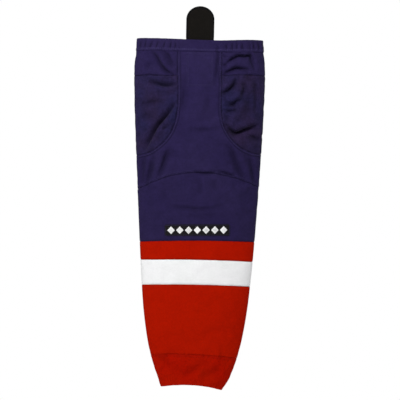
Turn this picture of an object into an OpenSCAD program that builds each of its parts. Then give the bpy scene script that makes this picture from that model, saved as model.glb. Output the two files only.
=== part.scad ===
// Ice hockey sock: a footless tube of sewn knit panels with a hook tab at the front and back of the thigh
// opening. It hangs upright as worn: the front faces -Y, and the origin is the centre of the thigh opening.

/* [Tube] */
// Length from the hem's top edge to the ankle edge at the sides
sock_len = 659; // [620:1:700]
// Flattened width at the hem's top edge
top_w = 237; // [225:1:245]
// Flattened width where the thigh is fullest
thigh_w = 247; // [240:1:256]
// Flattened width at the knee seam
knee_w = 229; // [222:1:236]
// Flattened width half-way down the shin
calf_w = 202; // [194:1:210]
// Flattened width above the ankle cuff
shin_w = 177; // [170:1:184]
// Flattened width at the middle of the ankle cuff
cuff_w = 143; // [136:1:150]
// Flattened width at the ankle edge
ankle_w = 115; // [108:1:122]
// Front-to-back depth of the thigh opening
top_d = 56; // [54:1:60]
// Front-to-back depth of the thigh and knee
thigh_d = 62; // [58:1:66]
// Front-to-back depth of the shin
shin_d = 58; // [54:1:62]
// Front-to-back depth at the ankle edge
ankle_d = 42; // [40:1:48]
// Thickness of the knit
cloth = 1.5; // [1.2:0.1:1.8]

/* [Hem] */
// Height of the turned-over hem
hem_h = 23.5; // [20:0.5:27]
// How far the hem stands out from the panels below it
hem_proud = 0.6; // [0.4:0.1:1]
// Thickness of the turned hem, with its elastic
hem_t = 4.2; // [4:0.1:4.6]
// Thickness of the elastic inside the hem
elastic_t = 1.5; // [1.2:0.1:1.6]

/* [Panels] */
// Half-width of the straight centre panel at the front
panel_half_w = 42; // [38:1:46]
// Depth of the seam between yoke and mesh
yoke_z = 69; // [62:1:76]
// Depth at which the mesh panel's front seam begins to curve outwards
curve_top = 130; // [122:1:138]
// Depth of the curved seam at the side edge
curve_side = 218; // [212:1:224]
// Depth of the curved seam at the centre of the back
curve_back = 232; // [226:1:236]
// Depth of the knee seam at the centre of the front
knee_front = 252; // [246:1:256]
// Depth of the knee seam at the sides and the back
knee_side = 281; // [276:1:288]

/* [Bands and cuff] */
// Depth at the front where the navy knee panel ends
red_z = 380; // [374:1:386]
// Depth at the front where the white band begins
white_z = 416.5; // [410:0.5:422]
// Depth at the front where the white band ends
shin_z = 463; // [456:0.5:470]
// Depth at the front where the ankle cuff begins
cuff_z = 593; // [586:1:600]
// Thickness of the turned double cuff
cuff_t = 3.4; // [3:0.1:4]

/* [Tabs] */
// Width of the hook tape
tab_w = 52.8; // [48:0.2:56]
// Height of the tab above the hem
tab_h = 60.6; // [54:0.2:66]
// Corner radius of the tab's round end
tab_r = 21; // [16:0.5:23]
// Thickness of the tape
tape_t = 1.6; // [1.4:0.1:1.8]
// Thickness of the hook field
hook_t = 1.2; // [0.8:0.1:1.4]
// Width of the plain selvedge along each side of the hook field
selvedge_w = 3.4; // [2:0.2:5]
// How far the tape's sewn-down end reaches below the hem's top edge
anchor_z = 92; // [84:1:98]

/* [Emblem] */
// Width of the patch
patch_w = 121; // [112:1:126]
// Height of the patch
patch_h = 22; // [20:1:24]
// Depth of the patch's centre
patch_z = 360; // [352:1:364]
// Number of diamonds in the row
diamond_n = 7; // [5:2:9]
// Distance between diamonds
diamond_pitch = 16.2; // [12:0.2:16.4]
// Height of a diamond
diamond_h = 14.5; // [10:0.5:16]

/* [Hidden] */

navy = [0.15, 0.13, 0.27];
dark_navy = [0.13, 0.11, 0.22];
red = [0.62, 0.07, 0.01];
white = [0.93, 0.93, 0.93];
black = [0.09, 0.09, 0.08];

seam_gap = 0.4;         // gap between neighbouring panels
layer_gap = 0.2;        // gap between layers of cloth that lie on each other
thread_w = 1.2;         // width of a line of stitches
thread_up = 0.4;        // how far a line of stitches stands out of the cloth
thread_in = 0.3;        // how far a line of stitches is sunk in the cloth
stitch_inset = 2.5;     // distance from a seam to the line of stitches beside it
ring_steps = 40;        // facets round the tube
row_pitch = 26;         // greatest height of a row of facets
upright_n = 5;          // facets down the front panel's upright edge
curve_n = 8;            // facets along the mesh panel's curved seam
back_n = 6;             // facets from the side edge to the centre of the back
panel_rows = 6;         // rows of facets in a large panel
front_fan = 12;         // angle round the tube, at the knee seam, under each upper corner of the front panel
seam_allowance_w = 6;   // width of the seam allowance inside the back
knee_gap = 4;           // clear height on each side of the knee seam at the back
band_arch = 2.5;        // how far a band's edge drops at the sides
cuff_arch = 5;          // how far the cuff's seam drops at the sides
ankle_arch = 7.3;       // how far the ankle edge drops at the sides
tab_gap = 2.5;          // clear height between the hem's top edge and the tab, or its sewn-down end
box_half_w = 24;        // half-width of the box of stitches over each sewn-down end
patch_t = 0.5;          // thickness of the patch
print_t = 0.4;          // thickness of the print on the patch
diamond_fill = 0.84;    // a diamond's width as a share of the distance between diamonds

// Half-widths and half-depths of the tube at a few heights, from the hem down
width_stations = [
    [0, top_w / 2], [-0.108 * sock_len, thigh_w / 2], [-0.42 * sock_len, knee_w / 2],
    [-0.727 * sock_len, calf_w / 2], [-0.863 * sock_len, shin_w / 2], [-0.954 * sock_len, cuff_w / 2],
    [-sock_len, ankle_w / 2]
];
depth_stations = [
    [0, top_d / 2], [-0.108 * sock_len, thigh_d / 2], [-0.42 * sock_len, thigh_d / 2],
    [-0.727 * sock_len, shin_d / 2], [-sock_len, ankle_d / 2]
];

// Distance of the tape's outer face from the middle of the opening
tab_y = top_d / 2 + hem_proud - hem_t - 1;

// A smooth curve through stations of [z, value]
function slope(s, i) = let (a = max(i - 1, 0), b = min(i + 1, len(s) - 1))
    (s[b][1] - s[a][1]) / (s[b][0] - s[a][0]);
function span_of(s, z) = max([for (i = [0:len(s) - 2]) if (i == 0 || z <= s[i][0]) i]);
function through(s, z) =
    let (i = span_of(s, z), h = s[i + 1][0] - s[i][0], t = (z - s[i][0]) / h)
    (2 * t ^ 3 - 3 * t ^ 2 + 1) * s[i][1] + (t ^ 3 - 2 * t ^ 2 + t) * h * slope(s, i)
    + (3 * t ^ 2 - 2 * t ^ 3) * s[i + 1][1] + (t ^ 3 - t ^ 2) * h * slope(s, i + 1);
function half_w(z) = through(width_stations, z);
function half_d(z) = through(depth_stations, z);

// A point on the tube: around from the centre of the front, height, and offset outwards from its skin
function on_tube(around, z, off) =
    [(half_w(z) + off) * sin(around), -(half_d(z) + off) * cos(around), z];
// The place around the front half that lies x away from the centre line
function around_at(x, z) = asin(min(1, x / half_w(z)));

// Heights of the seams, which drop towards the sides
function knee_seam(around) = -knee_front - (knee_side - knee_front)
    * (cos(around) > 0 ? sin(around) ^ 2 : 1);
function band_edge(z, around, arch) = -z - arch * sin(around) ^ 2;

// The mesh panel's front and lower seam on the right half, as [around, z], moved by grow towards the front
curve_rx = half_w(-curve_side) - panel_half_w;
curve_rz = curve_side - curve_top;
function curve_at(t, grow) =
    let (z = -curve_top - (curve_rz + grow) * sin(t))
    [around_at(half_w(-curve_side) - (curve_rx + grow) * cos(t), z), z];
function back_at(t, grow) =
    [90 + t, -curve_side - grow - (curve_back - curve_side) * sin(t) ^ 2];
function upright_at(z, grow) = [around_at(panel_half_w - grow, z), z];
curve_steps = [for (i = [0:curve_n]) i * 90 / curve_n];
back_end = 90 - asin(seam_gap / thigh_w);
back_steps = [for (i = [1:back_n]) i * back_end / back_n];

function quad(a, b, c, d) = [[a, b, c], [a, c, d]];

// Solid through a row of matching closed loops: the last joins the first, or else both ends are capped
module skin(loops, closed = false) {
    n = len(loops);
    m = len(loops[0]);
    walls = [for (i = [0:closed ? n - 1 : n - 2], k = [0:m - 1])
        let (j = (i + 1) % n, l = (k + 1) % m)
        each quad(i * m + k, j * m + k, j * m + l, i * m + l)];
    e = (n - 1) * m;
    caps = closed ? [] : [for (k = [0:m / 2 - 2])
        let (o = m - 1 - k)
        each concat(quad(k, k + 1, o - 1, o), quad(e + o, e + o - 1, e + k + 1, e + k))];
    polyhedron(points = [for (l = loops) each l], faces = concat(walls, caps), convexity = 10);
}

// Sheet of cloth over columns of [around, z] points, with its outer skin at the offset out
module sheet(columns, out, thickness) {
    skin([for (c = columns) concat(
        [for (p = c) on_tube(p[0], p[1], out)],
        [for (i = [len(c) - 1:-1:0]) on_tube(c[i][0], c[i][1], out - thickness)])]);
}

// Points from a to b, both [around, z], in the given number of steps
function rows(a, b, n) = [for (i = [0:n]) a + (b - a) * i / n];

// Band all the way round the tube, between two edges given as functions of the place around
module band(top, bottom, out, thickness) {
    n = ceil(abs(top(0) - bottom(0)) / row_pitch);
    skin([for (i = [0:ring_steps - 1])
        let (f = i * 360 / ring_steps, c = rows([f, top(f)], [f, bottom(f)], n))
        concat([for (p = c) on_tube(f, p[1], out)],
            [for (k = [n:-1:0]) on_tube(f, c[k][1], out - thickness)])], closed = true);
}

// Cloth turned over at one edge: a hollow ring, open along its other edge
module turned_ring(fold, open_edge, out, thickness, hollow) {
    wall = (thickness - hollow) / 2;
    skin([for (i = [0:ring_steps - 1])
        let (f = i * 360 / ring_steps, a = fold(f), b = open_edge(f), s = sign(b - a),
            mid = rows([f, a + s * wall], [f, b], ceil(abs(b - a) / row_pitch)), n = len(mid) - 1,
            outer = [for (p = mid) [0, p[1]]], inner = [for (k = [n:-1:0]) [-thickness, mid[k][1]]],
            loop = concat([[-wall, a]], outer,
                [[-wall, b], [-wall, a + s * wall], [wall - thickness, a + s * wall],
                    [wall - thickness, b]], inner, [[wall - thickness, a]]),
            turned = s < 0 ? loop : [for (k = [len(loop) - 1:-1:0]) loop[k]])
        [for (p = turned) on_tube(f, p[1], out + p[0])]], closed = true);
}

// Line of stitches all the way round, sunk in a skin at the offset out
module ring_of_stitches(edge, out) {
    band(function(f) edge(f) + thread_w / 2, function(f) edge(f) - thread_w / 2,
        out + thread_up, thread_up + thread_in);
}

// Line of stitches w wide and h high on the front, centred at x and z
module line_of_stitches(x, z, w, h) {
    sheet([for (i = [-1:0.5:1])
        rows([around_at(x + w * i / 2, z + h / 2), z + h / 2],
            [around_at(x + w * i / 2, z - h / 2), z - h / 2], ceil(h / row_pitch))],
        thread_up, thread_up + thread_in);
}

module top_hem() {
    color(navy)
        turned_ring(function(f) 0, function(f) -hem_h, hem_proud, hem_t, elastic_t + 2 * layer_gap);
}

module hem_elastic() {
    wall = (hem_t - elastic_t) / 2;
    color(white)
        band(function(f) -wall - 1, function(f) -hem_h + 1, hem_proud - wall, elastic_t);
}

module hem_stitching() {
    color(dark_navy)
        ring_of_stitches(function(f) -hem_h + stitch_inset, hem_proud);
}

// Half of the front panel, from the centre line to the centre of the back, as [upper, lower] points
function front_half() =
    let (g = seam_gap / 2, top = -hem_h - seam_gap, corner = upright_at(top, g)[0],
        foot = curve_at(0, g)[0])
    concat(
        [for (i = [1:2]) [[corner * i / 3, top], front_fan * i / 3]],
        [for (i = [0:upright_n - 1]) let (t = i / upright_n)
            [upright_at(top - (curve_top + top) * t, g), front_fan + (foot - front_fan) * t]],
        [for (t = curve_steps) let (p = curve_at(t, g)) [p, p[0]]],
        [for (t = back_steps) let (p = back_at(t, g)) [p, p[0]]]);

module front_panel() {
    half = front_half();
    whole = concat(
        [for (i = [len(half) - 1:-1:0]) [[-half[i][0][0], half[i][0][1]], -half[i][1]]],
        [[[0, -hem_h - seam_gap], 0]], half);
    color(navy)
        sheet([for (c = whole) rows(c[0], [c[1], knee_seam(c[1]) + seam_gap / 2], panel_rows)], 0, cloth);
}

module side_yoke_right() {
    g = seam_gap / 2;
    start = upright_at(-yoke_z, -g)[0];
    columns = curve_n + back_n;
    color(navy)
        sheet([for (f = [for (i = [0:columns]) start + (90 + back_end - start) * i / columns])
            rows([f, -hem_h - seam_gap], [f, -yoke_z + g], 2)], 0, cloth);
}

module side_yoke_left() {
    mirror([1, 0, 0]) side_yoke_right();
}

module mesh_panel_right() {
    g = seam_gap / 2;
    edge = concat([for (t = curve_steps) curve_at(t, -g)], [for (t = back_steps) back_at(t, -g)]);
    color(dark_navy)
        sheet([for (p = edge) rows([p[0], -yoke_z - g], p, panel_rows)], 0, cloth);
}

module mesh_panel_left() {
    mirror([1, 0, 0]) mesh_panel_right();
}

// Line of stitches down the front panel's upright edge, round its curve and on to the back
module mesh_seam_stitching_right() {
    top = -hem_h - 1;
    path = function(grow) concat(
        [for (i = [0:upright_n - 1]) upright_at(top - (curve_top + top) * i / upright_n, grow)],
        [for (t = curve_steps) curve_at(t, grow)],
        [for (t = back_steps) back_at(t, grow)]);
    inner = path(stitch_inset);
    outer = path(stitch_inset + thread_w);
    color(dark_navy)
        sheet([for (i = [0:len(inner) - 1]) [inner[i], outer[i]]], thread_up, thread_up + thread_in);
}

module mesh_seam_stitching_left() {
    mirror([1, 0, 0]) mesh_seam_stitching_right();
}

module knee_seam_stitching() {
    color(dark_navy)
        ring_of_stitches(function(f) knee_seam(f) + stitch_inset, 0);
}

// Folded seam allowance inside the centre of the back
module back_seam(top, bottom) {
    color(dark_navy)
        rotate([0, 0, 180])
        sheet([for (x = [-1, 1] * seam_allowance_w / 2)
            rows([around_at(x, top), top], [around_at(x, bottom), bottom],
                ceil((top - bottom) / row_pitch))], -cloth - layer_gap, cloth);
}

module back_seam_thigh() {
    back_seam(-anchor_z - stitch_inset, -knee_side + knee_gap);
}

module back_seam_shin() {
    back_seam(-knee_side - knee_gap, -cuff_z + stitch_inset);
}

// Sewn-down end of a tab, inside the front: it follows the hem and then drops on to the panel
module tab_anchor() {
    hem_inside = hem_proud - hem_t - layer_gap;
    panel_inside = -cloth - layer_gap;
    ramp = 11;          // height over which the tape drops from the hem to the panel
    steps = [[-tab_gap, hem_inside], [-hem_h - 1, hem_inside], [-hem_h - 1 - ramp, panel_inside],
        [-anchor_z, panel_inside]];
    columns = 6;
    color(black)
        skin([for (i = [0:columns])
            let (x = tab_w * (i / columns - 0.5))
            concat([for (s = steps) on_tube(around_at(x, s[0]), s[0], s[1])],
                [for (k = [len(steps) - 1:-1:0]) let (s = steps[k])
                    on_tube(around_at(x, s[0]), s[0], s[1] - tape_t)])]);
}

module front_tab_anchor() {
    tab_anchor();
}

module back_tab_anchor() {
    rotate([0, 0, 180]) tab_anchor();
}

// Box of stitches that holds the sewn-down end of a tab
module tab_stitching() {
    top = -hem_h - stitch_inset;
    bottom = -anchor_z + stitch_inset;
    color(dark_navy) {
        for (x = [-box_half_w, box_half_w])
            line_of_stitches(x, (top + bottom) / 2, thread_w, top - bottom);
        for (z = [top - thread_w, bottom + thread_w])
            line_of_stitches(0, z, 2 * (box_half_w - thread_w), thread_w);
    }
}

module front_tab_stitching() {
    tab_stitching();
}

module back_tab_stitching() {
    rotate([0, 0, 180]) tab_stitching();
}

// Outline of the tab above the hem, with its round end, inset all round
module tab_outline(inset) {
    half = tab_w / 2 - inset;
    r = tab_r - inset;
    translate([-half, tab_gap + inset])
        square([2 * half, tab_h - tab_r - tab_gap - inset]);
    for (x = [-1, 1])
        translate([x * (half - r), tab_h - tab_r])
            circle(r, $fn = 48);
    translate([-(half - r), tab_h - tab_r])
        square([2 * (half - r), r]);
}

// Plate of the tab's outline in front of the middle, with its outer face at the distance y
module tab_plate(y, thickness, inset) {
    translate([0, thickness - y, 0])
    rotate([90, 0, 0])
        linear_extrude(height = thickness) tab_outline(inset);
}

module tab_strap() {
    color(black) tab_plate(tab_y, tape_t, 0);
}

module tab_hooks() {
    color(black) tab_plate(tab_y - tape_t, hook_t, selvedge_w);
}

module front_tab_strap() {
    tab_strap();
}

module front_tab_hooks() {
    tab_hooks();
}

module back_tab_strap() {
    rotate([0, 0, 180]) tab_strap();
}

module back_tab_hooks() {
    rotate([0, 0, 180]) tab_hooks();
}

module knee_panel() {
    color(navy)
        band(function(f) knee_seam(f) - seam_gap / 2,
            function(f) band_edge(red_z - seam_gap / 2, f, band_arch), 0, cloth);
}

// Band of knit between two depths, both measured at the centre of the front
module stripe(top, bottom, bottom_arch, tint) {
    color(tint)
        band(function(f) band_edge(top + seam_gap / 2, f, band_arch),
            function(f) band_edge(bottom - seam_gap / 2, f, bottom_arch), 0, cloth);
}

module red_band() {
    stripe(red_z, white_z, band_arch, red);
}

module white_band() {
    stripe(white_z, shin_z, band_arch, white);
}

module shin_panel() {
    stripe(shin_z, cuff_z, cuff_arch, red);
}

module ankle_cuff() {
    color(red)
        turned_ring(function(f) -sock_len + ankle_arch * cos(f) ^ 2,
            function(f) band_edge(cuff_z + seam_gap / 2, f, cuff_arch), 0, cuff_t, 2 * layer_gap);
}

module cuff_stitching() {
    color(red)
        ring_of_stitches(function(f) band_edge(cuff_z + stitch_inset, f, cuff_arch), 0);
}

module emblem_patch() {
    ends = around_at(patch_w / 2, -patch_z);
    step = 360 / ring_steps;
    between = floor((ends - 1) / step);
    color(black)
        sheet([for (f = concat([-ends], [for (i = [-between:between]) i * step], [ends]))
            rows([f, patch_h / 2 - patch_z], [f, -patch_h / 2 - patch_z], 1)],
            patch_t + layer_gap, patch_t);
}

module emblem_print() {
    half_wide = diamond_pitch * diamond_fill / 2;
    under = patch_t + 2 * layer_gap;
    color(white)
        for (i = [0:diamond_n - 1]) {
            x = (i - (diamond_n - 1) / 2) * diamond_pitch;
            corners = [[x, diamond_h / 2], [x + half_wide, 0], [x, -diamond_h / 2], [x - half_wide, 0]];
            places = [for (c = corners) let (z = c[1] - patch_z) [around_at(c[0], z), z]];
            skin([for (off = [under + print_t, under]) [for (p = places) on_tube(p[0], p[1], off)]]);
        }
}

top_hem();
hem_elastic();
hem_stitching();
front_panel();
side_yoke_left();
side_yoke_right();
mesh_panel_left();
mesh_panel_right();
mesh_seam_stitching_left();
mesh_seam_stitching_right();
knee_seam_stitching();
back_seam_thigh();
front_tab_anchor();
front_tab_stitching();
back_tab_anchor();
back_tab_stitching();
front_tab_strap();
front_tab_hooks();
back_tab_strap();
back_tab_hooks();
knee_panel();
red_band();
white_band();
shin_panel();
ankle_cuff();
cuff_stitching();
back_seam_shin();
emblem_patch();
emblem_print();
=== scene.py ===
"""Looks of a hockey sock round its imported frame: draped knit panels, folds, stitches, hook tabs, studio."""
import math
import bpy
import numpy as np
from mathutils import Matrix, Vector

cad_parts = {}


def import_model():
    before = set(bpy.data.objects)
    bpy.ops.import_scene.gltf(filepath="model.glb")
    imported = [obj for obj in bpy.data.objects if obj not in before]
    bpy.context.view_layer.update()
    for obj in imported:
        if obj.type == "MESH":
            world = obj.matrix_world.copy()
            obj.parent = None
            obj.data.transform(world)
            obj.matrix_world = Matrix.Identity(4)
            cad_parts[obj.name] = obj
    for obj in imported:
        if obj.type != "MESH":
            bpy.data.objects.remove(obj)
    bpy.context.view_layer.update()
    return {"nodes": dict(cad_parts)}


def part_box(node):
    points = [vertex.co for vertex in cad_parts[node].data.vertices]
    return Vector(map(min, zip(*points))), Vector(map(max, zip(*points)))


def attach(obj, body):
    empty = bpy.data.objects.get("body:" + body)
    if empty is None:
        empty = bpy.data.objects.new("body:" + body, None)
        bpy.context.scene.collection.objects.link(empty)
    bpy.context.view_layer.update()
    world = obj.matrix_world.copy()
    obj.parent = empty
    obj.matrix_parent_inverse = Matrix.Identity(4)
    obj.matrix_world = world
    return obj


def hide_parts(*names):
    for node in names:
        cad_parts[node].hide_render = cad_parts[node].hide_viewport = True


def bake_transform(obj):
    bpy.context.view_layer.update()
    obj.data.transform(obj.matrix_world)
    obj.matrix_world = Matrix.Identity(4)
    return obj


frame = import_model()

MM = 0.001
TAU = 2 * math.pi

# ---------------------------------------------------------------- the tube, measured on the frame

HEM_PROUD = 0.6 * MM           # how far the hem stands out from the panels
FOLD_ROOM = 6 * MM             # rows this close to a turned edge don't show the tube's true size
SKIN_NODES = ("side_yoke_right", "mesh_panel_right", "front_panel", "knee_panel", "red_band", "white_band",
              "shin_panel", "ankle_cuff")


def vertices(node):
    """Vertices of a CAD node, as an array."""
    return np.array([v.co for v in frame["nodes"][node].data.vertices])


def unit(vectors):
    """Vectors at length 1."""
    return vectors / np.linalg.norm(vectors, axis=-1, keepdims=True)


def walked(points):
    """Distance along a line of points to each of them."""
    return np.concatenate([[0], np.cumsum(np.linalg.norm(np.diff(points, axis=0), axis=1))])


def curve_through(knots, values, at):
    """Smooth curve through values at rising knots, straight beyond its ends."""
    slopes = np.gradient(values, knots)
    inside = np.clip(at, knots[0], knots[-1])
    i = np.clip(np.searchsorted(knots, inside) - 1, 0, len(knots) - 2)
    h = knots[i + 1] - knots[i]
    t = (inside - knots[i]) / h
    curve = ((2 * t - 3) * t * t + 1) * values[i] + ((t - 2) * t + 1) * t * h * slopes[i]
    curve = curve + (3 - 2 * t) * t * t * values[i + 1] + (t - 1) * t * t * h * slopes[i + 1]
    return curve + (at - inside) * np.where(at < knots[0], slopes[0], slopes[-1])


def largest_by_height(z, size):
    """The largest size at each height, as rising heights and their sizes."""
    step = np.round(z / (0.5 * MM)).astype(int)
    best = [i[np.argmax(size[i])] for i in (np.flatnonzero(step == k) for k in np.unique(step))]
    return z[best], size[best]


def measure_tube():
    """Half-depths and half-widths of the tube at rising heights, with the hem moved in flush."""
    hem = vertices("top_hem")
    hem[:, :2] -= HEM_PROUD * unit(hem[:, :2])
    points = np.concatenate([hem] + [vertices(n) for n in SKIN_NODES])
    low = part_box("ankle_cuff")[0].z
    points = points[(points[:, 2] < -FOLD_ROOM / 2) & (points[:, 2] > low + 2 * FOLD_ROOM)]
    middle = points[np.abs(points[:, 0]) < 0.1 * MM]
    depth = largest_by_height(middle[:, 2], np.abs(middle[:, 1]))
    side = points[np.abs(points[:, 1]) < 5 * MM]
    lean = 1 - (side[:, 1] / curve_through(*depth, side[:, 2])) ** 2
    return depth, largest_by_height(side[:, 2], np.abs(side[:, 0]) / np.sqrt(lean))


DEPTHS, WIDTHS = measure_tube()


def half_d(z):
    return curve_through(*DEPTHS, z)


def half_w(z):
    return curve_through(*WIDTHS, z)


def perimeter(z):
    """Length round the tube at a height (Ramanujan's ellipse)."""
    a, b = half_w(z), half_d(z)
    return math.pi * (3 * (a + b) - np.sqrt((3 * a + b) * (a + 3 * b)))


def angle_table():
    """Shares of the way round, from the centre of the back through the front, and their angles."""
    angles = np.linspace(-math.pi, math.pi, 1441)
    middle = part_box("knee_panel")[1].z
    speed = np.hypot(half_w(middle) * np.cos(angles), half_d(middle) * np.sin(angles))
    way = np.concatenate([[0], np.cumsum((speed[1:] + speed[:-1]) / 2)])
    return way / way[-1] - 0.5, angles


SHARES, ANGLES = angle_table()


def angle(s):
    """Angle at a share of the way round: 0 at the front, positive to the right, half a turn at the back."""
    return np.interp(s, SHARES, ANGLES)


def share_at(x, z):
    """Share of the way round at which the front lies x from the centre line."""
    return np.interp(np.arcsin(np.clip(x / half_w(z), -1, 1)), ANGLES, SHARES)


def unrolled(s, z):
    """Places of the tube on the flat cloth: the distance round from the front's centre, and the height."""
    return np.stack([s * perimeter(z), z], -1)


# ---------------------------------------------------------------- seams, measured on the frame

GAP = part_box("side_yoke_right")[0].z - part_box("mesh_panel_right")[1].z
BACK = 0.5 - GAP / 2 / perimeter(-100 * MM)    # share at the panels' edges in the centre of the back
HEM_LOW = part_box("top_hem")[0].z
YOKE_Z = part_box("mesh_panel_right")[1].z + GAP / 2
ANKLE_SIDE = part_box("ankle_cuff")[0].z
ANKLE_ARCH = 7.3 * MM          # how far the ankle edge rises at the centres


def band_seam(upper, lower):
    """Height of the seam between two bands, which drops from the centres to the sides."""
    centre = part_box(lower)[1].z + GAP / 2
    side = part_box(upper)[0].z - GAP / 2
    return lambda s: centre + (side - centre) * np.sin(angle(s)) ** 2


def knee_seam(s):
    """Height of the knee seam: arched over the front, level round the back."""
    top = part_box("knee_panel")[1].z + GAP / 2
    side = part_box("front_panel")[0].z - GAP / 2
    return top + (side - top) * np.where(np.cos(angle(s)) > 0, np.sin(angle(s)) ** 2, 1)


red_seam = band_seam("knee_panel", "red_band")
white_seam = band_seam("red_band", "white_band")
shin_seam = band_seam("white_band", "shin_panel")
cuff_seam = band_seam("shin_panel", "ankle_cuff")


def hem_seam(s):
    return HEM_LOW + 0 * s


def ankle_edge(s):
    return ANKLE_SIDE + ANKLE_ARCH * np.cos(angle(s)) ** 2


def mesh_seam_marks():
    """Half-width of the centre panel, and the heights where its seam starts to curve, passes the side and
    ends at the back."""
    points = vertices("mesh_panel_right")
    front = points[points[:, 1] < 0]
    edge = front[:, 0].min()
    upright = front[front[:, 0] < edge + 0.5 * MM]
    side = points[np.abs(points[:, 1]) < 2 * MM]
    return edge - GAP / 2, upright[:, 2].min(), side[:, 2].min() - GAP / 2, points[:, 2].min() - GAP / 2


PANEL_HALF, CURVE_TOP, CURVE_SIDE, CURVE_BACK = mesh_seam_marks()


def evenly(path, n):
    """n points evenly spaced along a (share, height) path."""
    far = walked(unrolled(*path.T))
    want = np.linspace(0, far[-1], n)
    return np.stack([np.interp(want, far, path[:, k]) for k in (0, 1)], 1)


def mesh_seam(n, shift=0.0):
    """The right mesh panel's seam from the foot of its upright to the centre of the back, as n evenly spaced
    (share, height) points, moved by shift towards the centre panel."""
    turn = np.linspace(0, math.pi / 2, 200)
    reach = half_w(CURVE_SIDE) - PANEL_HALF + shift
    z = CURVE_TOP + (CURVE_SIDE - CURVE_TOP - shift) * np.sin(turn)
    front = np.stack([share_at(half_w(CURVE_SIDE) - reach * np.cos(turn), z), z], 1)
    s = np.interp(math.pi / 2 + turn[1:], ANGLES, SHARES)
    back = np.stack([s, CURVE_SIDE - shift + (CURVE_BACK - CURVE_SIDE) * np.sin(turn[1:]) ** 2], 1)
    path = np.concatenate([front, back])
    path[:, 0] = np.minimum(path[:, 0], BACK)
    return evenly(path, n)


def mesh_line(inward, curve_points=200, top=HEM_LOW - 1 * MM):
    """Path beside the right mesh seam: down its upright, round its curve and on to the back."""
    z = np.linspace(top, CURVE_TOP, 60)[:-1]
    upright = np.stack([share_at(PANEL_HALF - inward, z), z], 1)
    return np.concatenate([upright, mesh_seam(curve_points, inward)])


# ---------------------------------------------------------------- the grid that the cloth is draped on

COLUMNS = 320                  # columns of the grid round the tube
PITCH = 2 * MM                 # height of its rows
MARGIN = 6 * MM                # rows beyond the tube's ends
MIDDLE_Z = -300 * MM           # the tube's length round is taken here for all waves

rng = np.random.default_rng(11)
grid_s = np.arange(COLUMNS) / COLUMNS - 0.5
grid_z = np.arange(MARGIN, ANKLE_SIDE - MARGIN, -PITCH)
S, Z = np.meshgrid(grid_s, grid_z, indexing="ij")
A = angle(S)
X = half_w(Z) * np.sin(A)
FRONT = np.cos(A) > 0


def bump(value, centre, width):
    """Soft bell round a centre."""
    return np.exp(-((value - centre) / width) ** 2)


def soft_step(value, start, end):
    """Smooth rise from 0 at start to 1 at end."""
    t = np.clip((value - start) / (end - start), 0, 1)
    return t * t * (3 - 2 * t)


def filtered(field, keep):
    """The field with each of its waves scaled by keep, a function of waves per metre."""
    round_ = np.fft.fftfreq(field.shape[0], perimeter(MIDDLE_Z) / COLUMNS)
    down = np.fft.fftfreq(field.shape[1], PITCH)
    share = keep(np.hypot(*np.meshgrid(round_, down, indexing="ij")))
    share = share.reshape(share.shape + (1,) * (field.ndim - 2))
    return np.real(np.fft.ifft2(np.fft.fft2(field, axes=(0, 1)) * share, axes=(0, 1)))


def ripple(shortest, longest):
    """Seeded noise of unit strength with its wavelengths between two lengths, seamless round the tube."""
    rough = rng.standard_normal(S.shape)
    out = filtered(rough, lambda f: np.exp(-(f * shortest) ** 2) * (1 - np.exp(-(f * longest) ** 2)))
    return out / out.std()


def wave_round(shortest, longest):
    """Seeded wave round the tube that is the same at every height, between -1 and 1."""
    row = ripple(shortest, longest)[:, 0]
    return (row / np.abs(row).max())[:, None]


def without_ripples(field, shortest):
    """The field without its waves that are shorter than a length; it is mirrored at its ends."""
    whole = np.concatenate([field, field[:, ::-1]], axis=1)
    return filtered(whole, lambda f: np.exp(-(f * shortest) ** 2))[:, :field.shape[1]]


def grid_normals(points):
    """Outward normals of a grid that closes round the tube and runs downwards."""
    round_ = np.roll(points, -1, 0) - np.roll(points, 1, 0)
    return unit(np.cross(round_, -np.gradient(points, axis=1)))


def sample(field, s, z):
    """Smooth value of a grid's field at any place (Catmull-Rom in both directions)."""
    def weights(t):
        return (((-t + 2) * t - 1) * t / 2, ((3 * t - 5) * t * t + 2) / 2,
                ((-3 * t + 4) * t + 1) * t / 2, (t - 1) * t * t / 2)

    i, ti = np.divmod((np.asarray(s) + 0.5) * field.shape[0], 1)
    row = (grid_z[-1] - grid_z[0]) / (field.shape[1] - 1)
    j, tj = np.divmod((np.asarray(z) - grid_z[0]) / row, 1)
    total = 0
    for a, wa in enumerate(weights(ti)):
        for b, wb in enumerate(weights(tj)):
            at_i = (i.astype(int) + a - 1) % field.shape[0]
            at_j = np.clip(j.astype(int) + b - 1, 0, field.shape[1] - 1)
            weight = wa * wb
            total = total + field[at_i, at_j] * (weight[..., None] if field.ndim == 3 else weight)
    return total


# ---------------------------------------------------------------- the draped surface

PUCKER = 11.6 * MM             # spacing of the gathers in the hem
SIM_PITCH = 5 * MM             # spacing of the simulated cloth
SIM_FRAMES = 30
GROW = 0.035                   # spare length of the cloth where it is baggiest
SIM_SMOOTH = 13 * MM           # the simulation's waves below this length are left out
SIM_SETTINGS = {"quality": 8, "mass": 0.15, "tension_stiffness": 25, "compression_stiffness": 25,
                "shear_stiffness": 10, "bending_stiffness": 4, "air_damping": 3, "pin_stiffness": 0.6,
                "vertex_group_mass": "hold", "shrink_min": -GROW, "shrink_max": 0,
                "vertex_group_shrink": "taut"}

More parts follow.
